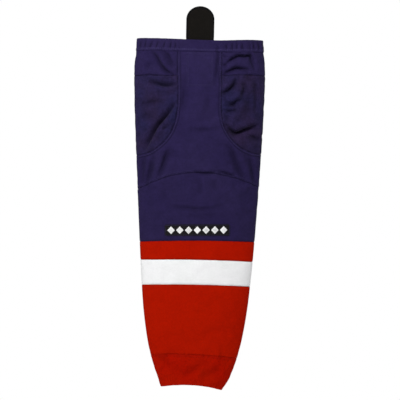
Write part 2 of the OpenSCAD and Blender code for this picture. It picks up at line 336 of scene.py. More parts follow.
# Folds of the front: points (x, z), width and depth in mm, and the side of the path on which the valley is
# steep and the ridge stands: 1 is on the left of its direction, -1 on the right.
FRONT_FOLDS = (
    ([(-92, -24), (-82, -34), (-73, -49), (-62, -61), (-48, -70)], 4.4, 7.0, 1),
    ([(-72, -24), (-60, -31), (-54, -45), (-48, -56)], 4.2, 4.5, 1),
    ([(-104, -60), (-98, -54), (-93, -46)], 5, 2.5, -1),
    ([(48, -50), (61, -37), (74, -30), (84, -31), (94, -30), (99, -39), (104, -62)], 3.8, 7.0, 1),
    ([(45, -67), (57, -60), (69, -55), (80, -56), (96, -61)], 4.2, 7.0, 1),
    ([(44, -47), (50, -50), (55, -51)], 3, 3.0, 1),
    ([(41, -26), (47, -32), (54, -35)], 2.6, 3.0, 1),
    ([(35, -4), (36, -34), (34, -57), (31, -90)], 3.2, 3.4, 1),
    ([(-30, -62), (-29, -92), (-30, -140)], 6, 1.6, -1),
    ([(17, -104), (19, -120), (20, -136)], 5, 1.2, 1),
    ([(-98, -80), (-78, -87), (-64, -90), (-43, -86)], 4.4, 6.6, -1),
    ([(-45, -121), (-56, -139), (-67, -153), (-77, -165), (-85, -178), (-93, -193), (-104, -212)],
     4.8, 9.0, 1),
    ([(-112, -127), (-98, -121), (-84, -119), (-66, -119)], 5.5, 3.0, 1),
    ([(-108, -150), (-96, -146), (-84, -150)], 6, 2.4, -1),
    ([(-58, -167), (-63, -169), (-68, -172)], 3, 3.5, 1),
    ([(70, -76), (64, -86), (54, -96), (42, -105)], 4.4, 6.5, -1),
    ([(48, -118), (63, -120), (70, -116), (82, -116)], 3.6, 6.0, 1),
    ([(47, -126), (60, -125), (76, -122)], 2.8, 4.5, 1),
    ([(48, -136), (60, -135), (72, -133)], 3.6, 3.6, 1),
    ([(78, -82), (84, -94), (80, -108), (86, -116)], 4.6, 3.6, -1),
    ([(88, -104), (94, -124), (92, -148)], 6, 2.4, 1),
    ([(106, -76), (108, -104), (106, -138)], 4, 3.5, 1),
    ([(50, -160), (59, -170), (70, -175), (80, -172), (90, -168), (100, -165), (112, -162)], 4.6, 9.5, 1),
    ([(94, -181), (103, -185), (110, -188), (114, -195)], 3.8, 4.2, 1),
    ([(44, -146), (52, -148), (60, -150)], 4, 2.4, 1),
    ([(-105, -216), (-106, -244), (-107, -276)], 4.4, 3.4, -1),
    ([(-86, -220), (-92, -246), (-101, -280)], 5, 4.4, -1),
    ([(-55, -204), (-66, -234), (-77, -266)], 5, 4.2, -1),
    ([(52, -198), (65, -218), (74, -241), (83, -258), (91, -274)], 6, 4.6, 1),
    ([(96, -214), (103, -246), (108, -280)], 5, 4.0, 1),
    ([(-10, -251), (10, -253), (35, -252)], 3, 3.0, 1),
    ([(34, -249), (52, -254), (70, -260)], 3.4, 4.0, 1),
    ([(2, -262), (5, -276), (8, -294)], 4.5, 2.0, 1),
    ([(30, -264), (32, -276), (33, -290)], 5, 1.8, 1),
    ([(-60, -311), (-30, -317), (-5, -320), (26, -319), (58, -313)], 4, 2.2, 1),
    ([(-34, -330), (0, -334), (44, -330)], 5, 1.2, 1),
    ([(-20, -170), (10, -172), (40, -170)], 4, 2.0, 1),
    ([(26, -606), (4, -622), (-16, -634), (-32, -641)], 7, 1.8, 1),
    ([(52, -612), (40, -626), (20, -640)], 7, 1.4, 1),
    ([(-60, -604), (-50, -616), (-46, -632)], 8, 1.2, -1),
)
# Folds of the back, seen from the front's side: x still grows to the right of the front.
BACK_FOLDS = (
    ([(92, -30), (80, -44), (70, -56), (52, -68)], 5, 4.8, -1),
    ([(66, -28), (56, -40), (50, -54)], 5, 3.2, -1),
    ([(-56, -50), (-66, -38), (-80, -33), (-94, -38), (-100, -56)], 4.5, 5.1, -1),
    ([(-46, -66), (-60, -58), (-76, -58)], 5, 3.8, -1),
    ([(100, -86), (84, -100), (62, -106), (40, -104)], 6, 5.1, -1),
    ([(30, -140), (52, -152), (78, -176), (100, -206)], 8, 7.0, -1),
    ([(-20, -120), (-44, -130), (-70, -152), (-98, -184)], 8, 6.4, 1),
    ([(-46, -84), (-64, -90), (-84, -88)], 5, 4.2, -1),
    ([(-70, -204), (-40, -216), (-12, -214)], 7, 4.5, 1),
    ([(-104, -252), (-70, -262), (-36, -264), (-8, -260)], 6, 4.5, 1),
    ([(106, -246), (76, -258), (40, -266), (14, -268)], 6, 4.5, -1),
    ([(-96, -300), (-58, -296), (-20, -300)], 7, 3.5, 1),
    ([(98, -310), (60, -304), (24, -308)], 7, 3.2, -1),
    ([(-80, -340), (-40, -344), (4, -338)], 8, 1.9, 1),
    ([(70, -420), (40, -432), (10, -430)], 9, 1.4, -1),
    ([(-40, -606), (-20, -624), (6, -638)], 7, 2.1, 1),
    ([(44, -600), (30, -618), (24, -636)], 7, 1.6, -1),
)


def fold_path(points):
    """Smooth path through a fold's points, in metres, with a point about every half millimetre."""
    points = np.array(points, float) * MM
    far = walked(points)
    at = np.linspace(0, far[-1], max(8, int(far[-1] / (0.5 * MM))))
    return np.stack([curve_through(far, points[:, k], at) for k in (0, 1)], 1)


def fold(height, shift, crease, face, points, width, depth, side):
    """Presses one fold into the grid: a slope down into a valley, and a steep side up to a low ridge. It also
    paints shade into the valley.
    """
    path = fold_path(points)
    width, depth = width * MM, depth * MM
    reach = 4 * width
    zone = face & (X > path[:, 0].min() - reach) & (X < path[:, 0].max() + reach)
    zone &= (Z > path[:, 1].min() - reach) & (Z < path[:, 1].max() + reach)
    apart = np.stack([X[zone], Z[zone]], 1)[:, None, :] - path[None, :, :]
    k = np.argmin((apart ** 2).sum(2), 1)
    away = apart[np.arange(len(k)), k]
    heading = np.gradient(path, axis=0)[k]
    far = np.linalg.norm(away, axis=1)
    d = far * np.sign(heading[:, 0] * away[:, 1] - heading[:, 1] * away[:, 0]) * side
    taper = np.sin(math.pi * np.clip((k + 0.5) / len(path), 0, 1)) ** 0.8
    valley = bump(d, 0, np.where(d > 0, 0.8 * width, 1.5 * width))
    off_edge = 1 - bump(np.abs(np.sin(A[zone])), 1, 0.08)      # no ridge stands out of the outline
    ridge = bump(d, 1.8 * width, 1.1 * width) - bump(0, 1.8 * width, 1.1 * width) * bump(far, 0, width)
    height[zone] += depth * taper * (0.38 * ridge * off_edge - valley)
    lean = 0.3 * depth * taper * bump(d, 0.9 * width, 0.8 * width)
    shift[zone] -= away / np.maximum(far, 0.1 * MM)[:, None] * lean[:, None]
    # Painted shade in the fold's valley, stronger for deeper folds.
    dark = min(1, depth / (6 * MM)) * taper * bump(d, -0.25 * width, 1.1 * width)
    crease[zone] = np.maximum(crease[zone], dark)


def hem_puckers():
    """Gathers that the elastic draws into the hem and that fade into the cloth below it, and the shade
    painted into their valleys.
    """
    lean = 0.5 * wave_round(40 * MM, 140 * MM) * (Z - HEM_LOW)
    u = unrolled(S, Z)[..., 0] + lean + 6 * MM * wave_round(26 * MM, 80 * MM)
    strength = 0.35 + 0.65 * np.abs(wave_round(12 * MM, 40 * MM)) ** 0.6
    creases = ((1 - np.cos(TAU * u / PUCKER)) / 2) ** 0.8
    smooth_front = 1 - 0.92 * FRONT * (1 - soft_step(np.abs(X), 34 * MM, 46 * MM))
    down = bump(Z, HEM_LOW * 0.55, 7 * MM)
    share = (creases - 0.6) * strength * smooth_front
    height = (2.4 * MM * down + 0.7 * MM * bump(Z, HEM_LOW * 1.5, 10 * MM)) * share
    # The second value is painted shade in the gathers' valleys.
    return height, np.clip(-2.6 * share, 0, 1) * down


def seam_puckers(seam_z, strength):
    """Small ripples that a seam's thread pulls into the cloth beside it."""
    u = unrolled(S, Z)[..., 0] + 6 * MM * wave_round(30 * MM, 90 * MM)
    waves = np.sin(TAU * u / (9 * MM))
    return strength * waves * np.abs(wave_round(20 * MM, 70 * MM)) * bump(Z, seam_z, 7 * MM)


def bagginess():
    """Where the cloth has spare length, from 0 to 1: thigh's sides and back, knee's sides, cuff."""
    aside = np.where(FRONT, soft_step(np.abs(X), 34 * MM, 62 * MM), 1)
    thigh = soft_step(Z, CURVE_BACK - 20 * MM, CURVE_SIDE + 30 * MM) * aside
    knee = bump(Z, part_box("front_panel")[0].z, 45 * MM) * (0.25 + 0.5 * aside)
    cuff = 0.45 * (1 - soft_step(Z, cuff_seam(0.0) - 10 * MM, cuff_seam(0.0) + 25 * MM))
    return np.clip(0.06 + 0.94 * thigh + knee + cuff, 0, 1)


def link(name, data):
    """New object in the scene."""
    made = bpy.data.objects.new(name, data)
    bpy.context.scene.collection.objects.link(made)
    return made


def quads(index):
    """Quads between point numbers in columns that run downwards, each to the right of the last. They look
    outwards."""
    return np.stack([index[:-1, 1:], index[1:, 1:], index[1:, :-1], index[:-1, :-1]], 2).reshape(-1, 4)


def simulate(points, hold, spare):
    """Cloth simulation of the whole tube: it buckles where it has spare length. Returns how far it moved."""
    index = np.arange(points[..., 0].size).reshape(points.shape[:2])
    faces = quads(np.pad(index, ((0, 1), (0, 0)), "wrap"))
    mesh = bpy.data.meshes.new("drape")
    mesh.from_pydata(points.reshape(-1, 3).tolist(), [], faces.tolist())
    cloth = link("drape", mesh)
    for name, weights in (("hold", hold), ("taut", 1 - spare)):
        group = cloth.vertex_groups.new(name=name)
        for i, weight in enumerate(weights.ravel()):
            group.add([i], float(weight), "REPLACE")
    modifier = cloth.modifiers.new("cloth", "CLOTH")
    for name, value in SIM_SETTINGS.items():
        setattr(modifier.settings, name, value)
    modifier.settings.effector_weights.gravity = 0
    modifier.collision_settings.use_collision = False
    modifier.point_cache.frame_end = SIM_FRAMES
    for step in range(1, SIM_FRAMES + 1):
        bpy.context.scene.frame_set(step)
    evaluated = cloth.evaluated_get(bpy.context.evaluated_depsgraph_get())
    moved = np.zeros(points.size, np.float32)
    evaluated.data.vertices.foreach_get("co", moved)
    bpy.context.scene.frame_set(1)
    bpy.data.objects.remove(cloth)
    bpy.data.meshes.remove(mesh)
    return moved.reshape(points.shape) - points


def simulated(points):
    """How far the simulation moves each point of the grid. It is held at the ends and the side edges."""
    wide = int(perimeter(MIDDLE_Z) / SIM_PITCH)
    tall = int((grid_z[0] - grid_z[-1]) / SIM_PITCH) + 1
    s, z = np.meshgrid(np.arange(wide) / wide - 0.5, np.linspace(grid_z[0], grid_z[-1], tall), indexing="ij")
    end = np.maximum(soft_step(z, HEM_LOW, -12 * MM), 1 - soft_step(z, ANKLE_SIDE, ANKLE_SIDE + 30 * MM))
    edge = 0.6 * bump(np.abs(np.sin(angle(s))), 1, 0.15)
    hold = np.clip(np.maximum(end, 0.12 + edge), 0, 1)
    moved = simulate(sample(points, s, z), hold, np.clip(sample(bagginess(), s, z), 0, 1))
    return without_ripples(sample(moved, S, Z), SIM_SMOOTH)


# Heights up the sock, and there the cloth's rise for each metre to the left.
SKEW_AT = (-0.659, -0.600, -0.468, -0.413, -0.376, -0.275, -0.22, -0.075, -0.001, 0.02)
SKEW = (0.038, 0.026, -0.002, -0.002, -0.019, -0.034, -0.028, -0.018, -0.003, -0.003)
BOW = 2.6 * MM                 # how far the sock's middle hangs to the right
HEM_SAG = 2.6 * MM             # how far the hem's middle sags, and how much more at its right
HEM_SAG_RIGHT = 1.2 * MM
HEM_NARROWER = 1.8 * MM        # how far each side of the hem is drawn in
BANDS_RISE = 1.3 * MM          # how far the bands hang above their CAD places
TOE_IN = 5.0 * MM              # how far the right end of the ankle edge is drawn in


def hang():
    """How the sock hangs slightly bowed, with its seams and both edges a little askew."""
    top = soft_step(Z, -50 * MM, 0)
    foot = 1 - soft_step(Z, ANKLE_SIDE, ANKLE_SIDE + 32 * MM)
    rise = -curve_through(np.array(SKEW_AT), np.array(SKEW), Z) * X
    rise -= top * (HEM_SAG_RIGHT * bump(X, 48 * MM, 34 * MM) + HEM_SAG * bump(X, 2 * MM, 58 * MM))
    rise += BANDS_RISE * bump(Z, -430 * MM, 55 * MM)
    aside = BOW * np.sin(math.pi * np.clip(Z / ANKLE_SIDE, 0, 1))
    aside -= HEM_NARROWER * soft_step(Z, -32 * MM, 0) * X / half_w(0.0)
    aside -= TOE_IN * foot ** 2 * soft_step(X, 0, 60 * MM)
    return np.stack([aside, 0 * Z, rise], 2)


def drape():
    """Positions and normals of the draped cloth on the grid, and the shade painted at each place in the
    folds' valleys and the hem's gathers.
    """
    base = np.stack([X, -half_d(Z) * np.cos(A), Z], 2)
    height = 0.45 * MM * ripple(28 * MM, 90 * MM) + 0.12 * MM * ripple(9 * MM, 26 * MM)
    height *= (0.35 + 0.65 * bagginess()) * (1 - 0.8 * bump(np.abs(np.sin(A)), 1, 0.12))
    puckers, crease = hem_puckers()
    height += puckers + seam_puckers(knee_seam(S), 0.35 * MM) + seam_puckers(cuff_seam(S), 0.25 * MM)
    shift = np.zeros(S.shape + (2,))
    for face, folds in ((FRONT, FRONT_FOLDS), (~FRONT, BACK_FOLDS)):
        for one in folds:
            fold(height, shift, crease, face, *one)
    points = base + height[..., None] * grid_normals(base)
    points[..., 0] += shift[..., 0] * np.cos(A)
    points[..., 2] += shift[..., 1]
    points += hang()
    points = points + simulated(points)
    return points, grid_normals(points), crease


# The third field is painted shade for the folds' valleys and the hem's gathers.
SURFACE, NORMALS, PAINTED_SHADE = drape()
# Painted shade along the seams' dips, stronger in some stretches of each seam than in others.
SEAM_SHADE = np.clip(0.62 + 0.22 * ripple(7 * MM, 60 * MM), 0.2, 1)     # how dark each seam is along its way
SEAM_DIP = 1.15 * MM           # how far a seam lies below the cloth round it
SHALLOW = 1.2 * MM             # by this much the hem's and the cuff's seams count as further away
# Beside the mesh seam a line of shade is painted on the front panel, where the allowance sewn down under it
# ends.
ALLOWANCE_SHADE_LINE = 4.6 * MM           # distance from the mesh seam to the edge of the allowance sewn down beside it
MESH_SEAM = unrolled(*mesh_line(0.0, 160, HEM_LOW).T)


def mesh_seam_distance(s, z):
    """Distance along the cloth to the nearest mesh seam."""
    here = unrolled(np.abs(s), z).reshape(-1, 2)
    best = np.full(len(here), 1.0)
    for a, d in zip(MESH_SEAM[:-1], np.diff(MESH_SEAM, axis=0)):
        t = np.clip(((here - a) @ d) / (d @ d), 0, 1)
        best = np.minimum(best, np.linalg.norm(here - a - t[:, None] * d, axis=1))
    return best.reshape(np.shape(z))


def seam_distance(s, z):
    """Distance along the cloth to the nearest seam, never short at the hem's and the cuff's shallow seams."""
    near = [np.abs(z - seam(s)) for seam in (knee_seam, red_seam, white_seam, shin_seam)]
    near += [np.abs(z - seam(s)) + SHALLOW for seam in (hem_seam, cuff_seam)]
    near.append(np.where(np.abs(s) > share_at(PANEL_HALF, z), np.abs(z - YOKE_Z), 1))
    near.append((0.5 - np.abs(s)) * perimeter(z))
    near.append(mesh_seam_distance(s, z))
    return np.min(near, axis=0)


def place(s, z, off=0.0):
    """Points of the draped cloth, off metres outside its outer face, which dips at each seam."""
    s, z = np.broadcast_arrays(np.asarray(s, float), np.asarray(z, float))
    s = (s + 0.5) % 1 - 0.5
    flank = bump(np.abs(np.sin(angle(s))), 1, 0.06)
    dip = SEAM_DIP * (1 - 0.6 * flank) * bump(seam_distance(s, z), 0, 1.9 * MM)
    return sample(SURFACE, s, z) + (np.asarray(off) - dip)[..., None] * unit(sample(NORMALS, s, z))


# ---------------------------------------------------------------- meshes

CLOTH = 0.9 * MM               # thickness of the knit
ROW = 2.2 * MM                 # height of the panels' rows, which are finer beside a seam
EDGE_STEPS = np.array([0, 0.5, 1.1, 1.9, 3.0, 4.6, 6.6]) * MM
SHARP = math.radians(60)       # edges sharper than this aren't shaded smooth
HEM_T = 4.2 * MM               # thickness of the hem and of the cuff, turned over
CUFF_T = 3.4 * MM
YOKE_SHADE = 0.12              # the yokes and the hem are this much darker than the front


def add_uv(piece, name, uv):
    """Adds a uv layer from one uv for each vertex."""
    mesh = piece.data
    corner = np.zeros(len(mesh.loops), np.int32)
    mesh.loops.foreach_get("vertex_index", corner)
    mesh.uv_layers.new(name=name).data.foreach_set("uv", uv[corner].astype(np.float32).ravel())


def make(name, points, faces, uv):
    """Mesh object from points, faces and one uv per point."""
    mesh = bpy.data.meshes.new(name)
    mesh.from_pydata(points.tolist(), [], faces if isinstance(faces, list) else faces.tolist())
    mesh.polygons.foreach_set("use_smooth", np.ones(len(mesh.polygons), bool))
    mesh.set_sharp_from_angle(angle=SHARP)
    made = link(name, mesh)
    add_uv(made, "cloth", uv)
    return made


def grid_faces(rows, columns):
    """Quads of a grid whose points run column by column from the top, so that the faces look outwards."""
    return quads(np.arange(rows * columns).reshape(columns, rows))


def closed(faces, n):
    """Faces of a closed sheet: n points on its outer surface, n matching ones on its inner, and the walls
    between them, on the edges that only one face uses."""
    edges = np.concatenate([np.stack([faces[:, k], faces[:, (k + 1) % 4]], 1) for k in range(4)])
    _, inverse, count = np.unique(np.sort(edges, 1), axis=0, return_inverse=True, return_counts=True)
    rim = edges[count[inverse.ravel()] == 1]
    walls = np.stack([rim[:, 1], rim[:, 0], rim[:, 0] + n, rim[:, 1] + n], 1)
    return np.concatenate([faces, faces[:, ::-1] + n, walls])


def thick(name, outer, inner, faces, uv):
    """Closed sheet between two matching surfaces."""
    return make(name, np.concatenate([outer, inner]), closed(faces, len(outer)), np.concatenate([uv, uv]))


def lay(name, s, z, faces, off=0.0, thickness=CLOTH, uv=None):
    """Closed sheet over places of the tube, off metres outside the cloth's outer face."""
    uv = unrolled(s, z) if uv is None else uv
    return thick(name, place(s, z, off), place(s, z, off - thickness), faces, uv)


def shade_creases(piece, s, z):
    """Paints shade into a uv layer for the knit: deep in a fold, in a seam's dip (unevenly along each seam)
    and along the allowance's edge beside the mesh seam; the yokes and the hem are darker evenly.
    """
    s = (s + 0.5) % 1 - 0.5
    dark = np.maximum(sample(PAINTED_SHADE, s, z), sample(SEAM_SHADE, s, z) * bump(seam_distance(s, z), 0, 1.4 * MM))
    if piece.name.startswith("front_panel"):
        # Painted shade in a line along the edge of the mesh seam's allowance.
        dark = np.maximum(dark, 0.95 * bump(mesh_seam_distance(s, z), ALLOWANCE_SHADE_LINE, 1.1 * MM))
    if piece.name.startswith(("side_yoke", "top_hem")):
        dark = np.maximum(dark, YOKE_SHADE)
    add_uv(piece, "crease", np.stack([np.clip(dark, 0, 1), 0 * z], 1))


def knit_sheet(name, s, z, faces):
    """Sheet of the sock's own cloth."""
    sheet = lay(name + "_cloth", s, z, faces)
    shade_creases(sheet, np.tile(s, 2), np.tile(z, 2))
    return sheet


def graded(length):
    """Shares of a length, with fine steps at both ends and even ones between."""
    ends = EDGE_STEPS / length
    middle = np.linspace(ends[-1], 1 - ends[-1], max(3, int((length - 2 * EDGE_STEPS[-1]) / ROW) + 1))
    return np.concatenate([ends[:-1], middle, 1 - ends[-2::-1]])


def between(upper, lower, shares):
    """Grid of places on straight lines from the upper to the lower (share, height) points."""
    grid = upper[:, None, :] + (lower - upper)[:, None, :] * shares[None, :, None]
    return grid[..., 0].ravel(), grid[..., 1].ravel()


def panel(name, upper, lower, height):
    """Panel of knit between two (share, height) edges that run to the right."""
    shares = graded(height)
    return knit_sheet(name, *between(upper, lower, shares), grid_faces(len(shares), len(upper)))


def band_panel(name, top, bottom):
    """Band of knit round the tube, joined at the centre of the back."""
    s = np.concatenate([[-BACK], np.linspace(-0.497, 0.497, 300), [BACK]])
    upper, lower = np.stack([s, top(s) - GAP / 2], 1), np.stack([s, bottom(s) + GAP / 2], 1)
    return panel(name, upper, lower, upper[len(s) // 2, 1] - lower[len(s) // 2, 1])


def mirrored(path, side):
    """The path on the right (1) or the left (-1), still running to the right."""
    return path * [side, 1] if side > 0 else (path * [side, 1])[::-1]


def level_edge(z, n, start=PANEL_HALF + GAP / 2):
    """Path at one height on the right, from beside the centre panel to the centre of the back."""
    return np.stack([np.linspace(share_at(start, z), BACK, n), np.full(n, z)], 1)


def yoke(name, side):
    top, low = HEM_LOW - GAP, YOKE_Z + GAP / 2
    return panel(name, mirrored(level_edge(top, 110), side), mirrored(level_edge(low, 110), side), top - low)


def mesh_panel(name, side):
    upper, lower = level_edge(YOKE_Z - GAP / 2, 120), mesh_seam(120, -GAP / 2)
    return panel(name, mirrored(upper, side), mirrored(lower, side), 110 * MM)


def front_panel(name):
    """Centre panel and the skirt that runs from it round to the centre of the back, as one sheet."""
    middle, skirt = 44, 120
    top = HEM_LOW - GAP
    low_shares, high_shares = graded(120 * MM), graded(top - CURVE_TOP)
    curve = mesh_seam(skirt, GAP / 2)
    foot_s = np.linspace(share_at(PANEL_HALF - GAP / 2, knee_seam(0.1)), BACK, skirt)
    foot = np.stack([foot_s, knee_seam(foot_s) + GAP / 2], 1)
    ways = np.linspace(-1, 1, middle)
    z_high = top + (CURVE_TOP - top) * high_shares
    s_high = share_at(PANEL_HALF - GAP / 2, z_high)
    s_high[-1] = curve[0, 0]
    s_low = curve[0, 0] + (foot[0, 0] - curve[0, 0]) * low_shares
    drop = knee_seam(ways * foot_s[0]) + GAP / 2 - CURVE_TOP
    z_low = CURVE_TOP + drop[:, None] * low_shares[None, 1:]
    s = [(ways[:, None] * np.concatenate([s_high, s_low[1:]])).ravel()]
    z = [np.concatenate([np.tile(z_high, (middle, 1)), z_low], 1).ravel()]
    rows = len(s[0]) // middle
    faces = [grid_faces(rows, middle)]
    skirt_s, skirt_z = between(curve[1:], foot[1:], low_shares)
    for side, column in ((1, middle - 1), (-1, 0)):
        shared = column * rows + len(high_shares) - 1 + np.arange(len(low_shares))
        own = sum(map(len, s)) + np.arange(len(skirt_s)).reshape(skirt - 1, -1)
        beside = quads(np.concatenate([shared[None, :], own]))
        faces.append(beside if side > 0 else beside[:, ::-1])
        s.append(side * skirt_s)
        z.append(skirt_z)
    return knit_sheet(name, np.concatenate(s), np.concatenate(z), np.concatenate(faces))


def turned(name, columns, outline):
    """Ring of cloth turned over at an edge: outline gives its (off, height) cross-section at each share."""
    s = np.arange(columns) / columns - 0.5
    loops = np.array([outline(share) for share in s])
    points = loops.shape[1]
    share = np.repeat(s, points)
    off, z = loops.reshape(-1, 2).T
    index = np.arange(columns * points).reshape(columns, points)
    faces = quads(np.pad(index, ((0, 1), (0, 1)), "wrap"))[:, ::-1]
    run = np.concatenate([walked(loop) for loop in loops])
    ring = make(name, place(share, z, off), faces, np.stack([unrolled(share, z)[:, 0], run], 1))
    shade_creases(ring, share, z)
    return ring


def turned_outline(edge, fold_z, out, thickness, wall, rows):
    """Cross-section of cloth turned over at fold_z, with both ends at the height edge."""
    up = 1 if fold_z > edge else -1
    r = thickness / 2
    bend = np.linspace(0, math.pi, 9)
    middle = out - r
    leg = np.linspace(edge, fold_z - up * r, rows)

    def layer(radius):
        outer = [(middle + radius, z) for z in leg[:-1]]
        arc = [(middle + radius * math.cos(t), leg[-1] + up * radius * math.sin(t)) for t in bend]
        inner = [(middle - radius, z) for z in leg[-2::-1]]
        return outer + arc + inner

    whole = layer(r) + layer(r - wall)[::-1]
    return whole if up > 0 else whole[::-1]


def hem():
    return turned("top_hem_cloth", 360, lambda s: turned_outline(HEM_LOW, 0.0, HEM_PROUD, HEM_T, CLOTH, 12))


def cuff():
    return turned("ankle_cuff_cloth", 300, lambda s: turned_outline(
        cuff_seam(s) - GAP / 2, ankle_edge(s), 0.0, CUFF_T, 1.2 * MM, 28))


STITCH = 2.9 * MM              # length of a stitch
STITCH_GAP = 0.6 * MM          # cloth between two stitches
THREAD_R = 0.33 * MM           # radius of the thread


def tubes(rings):
    """Points and faces of closed tubes, whose rings are given as tubes x rings x sides points."""
    i = np.arange(rings[..., 0].size).reshape(rings.shape[:3])
    j = np.roll(i, -1, 2)
    walls = np.stack([i[:, :-1], i[:, 1:], j[:, 1:], j[:, :-1]], 3).reshape(-1, 4)
    return rings.reshape(-1, 3), walls, np.concatenate([i[:, 0, :], i[:, -1, ::-1]])


def stitches(name, paths, off=0.0):
    """Lines of single stitches along (share, height) paths, lying on the cloth."""
    points, faces, uvs = [], [], []
    ease = np.linspace(0, 1, 6)
    turn = np.arange(6) * TAU / 6
    rise = THREAD_R * (1.1 * np.sin(math.pi * ease) ** 0.6 - 0.5)
    radius = THREAD_R * (0.35 + 0.65 * np.sin(math.pi * np.clip(ease, 0.06, 0.94)) ** 0.5)
    for path in paths:
        far = walked(unrolled(*path.T))
        starts = np.arange(STITCH_GAP / 2, far[-1] - STITCH, STITCH + STITCH_GAP)
        want = starts[:, None] + STITCH * ease[None, :]
        s, z = (np.interp(want, far, path[:, k]) for k in (0, 1))
        centre = place(s, z, off + rise[None, :])
        out = unit(sample(NORMALS, s, z))
        beside = unit(np.cross(np.gradient(centre, axis=1), out))
        spokes = np.cos(turn)[:, None] * beside[:, :, None, :] + np.sin(turn)[:, None] * out[:, :, None, :]
        rings = centre[:, :, None, :] + radius[None, :, None, None] * spokes
        start = sum(map(len, points))
        here, walls, ends = tubes(rings)
        points.append(here)
        faces += (walls + start).tolist() + (ends + start).tolist()
        run = np.broadcast_to(want[:, :, None], rings.shape[:3])
        uvs.append(np.stack([run, np.broadcast_to(turn * THREAD_R, run.shape)], 3).reshape(-1, 2))
    return make(name, np.concatenate(points), faces, np.concatenate(uvs))


def round_line(seam, down):
    """Path round the tube, down metres below a seam."""
    s = np.linspace(-BACK, BACK, 400)
    return np.stack([s, seam(s) - down], 1)


def box_line(half, top, bottom, centre=0.0):
    """Closed box on the front (centre 0) or the back (centre 0.5)."""
    way = np.arange(4 * 23) / 23
    x = np.interp(way, range(5), [-half, half, half, -half, -half])
    z = np.interp(way, range(5), [top, top, bottom, bottom, top])
    s = share_at(x, z)
    return np.stack([centre - s if centre else s, z], 1)


# ---------------------------------------------------------------- materials

class Value:
    """Output of a shader node, on which arithmetic adds more nodes."""

    def __init__(self, socket):
        self.socket = socket
        self.tree = socket.id_data

    def node(self, kind, *values, **settings):
        """New node with its settings, and values on its first inputs."""
        node = self.tree.nodes.new("ShaderNode" + kind)
        for name, setting in settings.items():
            setattr(node, name, setting)
        for socket, value in zip(node.inputs, values):
            put(value, socket)
        return node

    def math(self, operation, *others):
        return Value(self.node("Math", self, *others, operation=operation).outputs[0])

    def __add__(self, other):
        return self.math("ADD", other)

    def __sub__(self, other):
        return self.math("SUBTRACT", other)

    def __mul__(self, other):
        return self.math("MULTIPLY", other)

    def __truediv__(self, other):
        return self.math("DIVIDE", other)

    def plus(self, share, other):
        """The value, and a share of another."""
        return other.math("MULTIPLY_ADD", share, self)

    def fit(self, low, high, new_low, new_high):
        """Value moved from one range to another, and kept inside it."""
        return Value(self.node("MapRange", self, low, high, new_low, new_high).outputs[0])

    def saw(self, period):
        """0 to 1 within each period."""
        return (self / period).math("FRACT")

    def tent(self, period):
        """1 at each period's ends and 0 half-way."""
        return (self.saw(period) - 0.5).math("ABSOLUTE") * 2

    def waves(self, period):
        """Sine wave from 0 to 1."""
        return (self * (TAU / period)).math("SINE").math("MULTIPLY_ADD", 0.5, 0.5)

    def mix(self, a, b):
        """The colour a, or b as far as the value goes from 0 to 1."""
        node = self.node("Mix", data_type="RGBA")
        put(self, node.inputs["Factor"])
        for socket, colour in zip([s for s in node.inputs if s.type == "RGBA"], (a, b)):
            put((*colour, 1) if isinstance(colour, tuple) else colour, socket)
        return Value(next(s for s in node.outputs if s.type == "RGBA"))

    def scale(self, colour):
        """The colour multiplied by the value."""
        node = self.node("VectorMath", colour, operation="SCALE")
        put(self, node.inputs["Scale"])
        return Value(node.outputs[0])


def put(value, socket):
    """Sets a socket to a constant, or links a value to it."""
    if isinstance(value, Value):
        value.tree.links.new(value.socket, socket)
    else:
        socket.default_value = value


class Paint:
    """A material, the place on the cloth that its nodes read, and its noises."""

    def __init__(self, name, roughness, specular, sheen=0.0, sheen_tint=(1, 1, 1)):
        self.material = bpy.data.materials.new(name)
        self.material.use_nodes = True
        self.tree = self.material.node_tree
        self.shader = self.tree.nodes["Principled BSDF"]
        for socket, value in (("Roughness", roughness), ("Specular IOR Level", specular),
                              ("Sheen Weight", sheen), ("Sheen Roughness", 0.5),
                              ("Sheen Tint", (*sheen_tint, 1))):
            self.shader.inputs[socket].default_value = value
        self.uv, self.u, self.v = self.layer("cloth")

    def layer(self, name):
        """A uv layer, and its two numbers."""
        uv = self.tree.nodes.new("ShaderNodeUVMap")
        uv.uv_map = name
        whole = Value(uv.outputs["UV"])
        split = whole.node("SeparateXYZ", whole)
        return whole, Value(split.outputs["X"]), Value(split.outputs["Y"])

    def noise(self, size, detail=2.0):
        """Noise from 0 to 1 with features about size metres across."""
        node = self.tree.nodes.new("ShaderNodeTexNoise")
        put(self.uv, node.inputs["Vector"])
        node.inputs["Scale"].default_value = 1 / size
        node.inputs["Detail"].default_value = detail
        return Value(node.outputs["Fac"])

    def cloudy(self, colour, tint, amount):
        """Colour with slow changes of tint and shade, like dyed cloth that has been handled."""
        wide = self.noise(70 * MM, 3).fit(0.35, 0.65, 0, 1)
        shade = self.noise(14 * MM, 4).fit(0.3, 0.7, 1 - amount, 1 + amount)
        mottle = self.noise(4.2 * MM, 2).fit(0.3, 0.7, 1 - amount, 1 + amount)
        return (shade * mottle).scale(wide.mix(colour, tint))

    def with_painted_shade(self, shade, painted_shade_strength):
        """The shade, darkened by painted shade from a uv layer where the cloth lies deep in a fold or beside
        a seam.
        """
        return shade * self.layer("crease")[1].fit(0, 1, 1, 1 - painted_shade_strength)

    def finish(self, colour, height, depth, rough):
        """Links the colour, the roughness, and a bump of the given depth in metres."""
        relief = self.tree.nodes.new("ShaderNodeBump")
        relief.inputs["Distance"].default_value = depth
        put(1.0, relief.inputs["Strength"])
        put(height, relief.inputs["Height"])
        for socket, value in (("Base Color", colour), ("Normal", Value(relief.outputs[0])),
                              ("Roughness", rough)):
            put(value, self.shader.inputs[socket])
        return self.material


def knit_height(paint, wale, course):
    """Jersey stitches: upright wales of small V-shaped loops."""
    across = paint.u.tent(wale)
    loops = paint.v.plus(course * 0.5, across).waves(course)
    return loops * 0.4 - across * across * 0.6 + 0.6
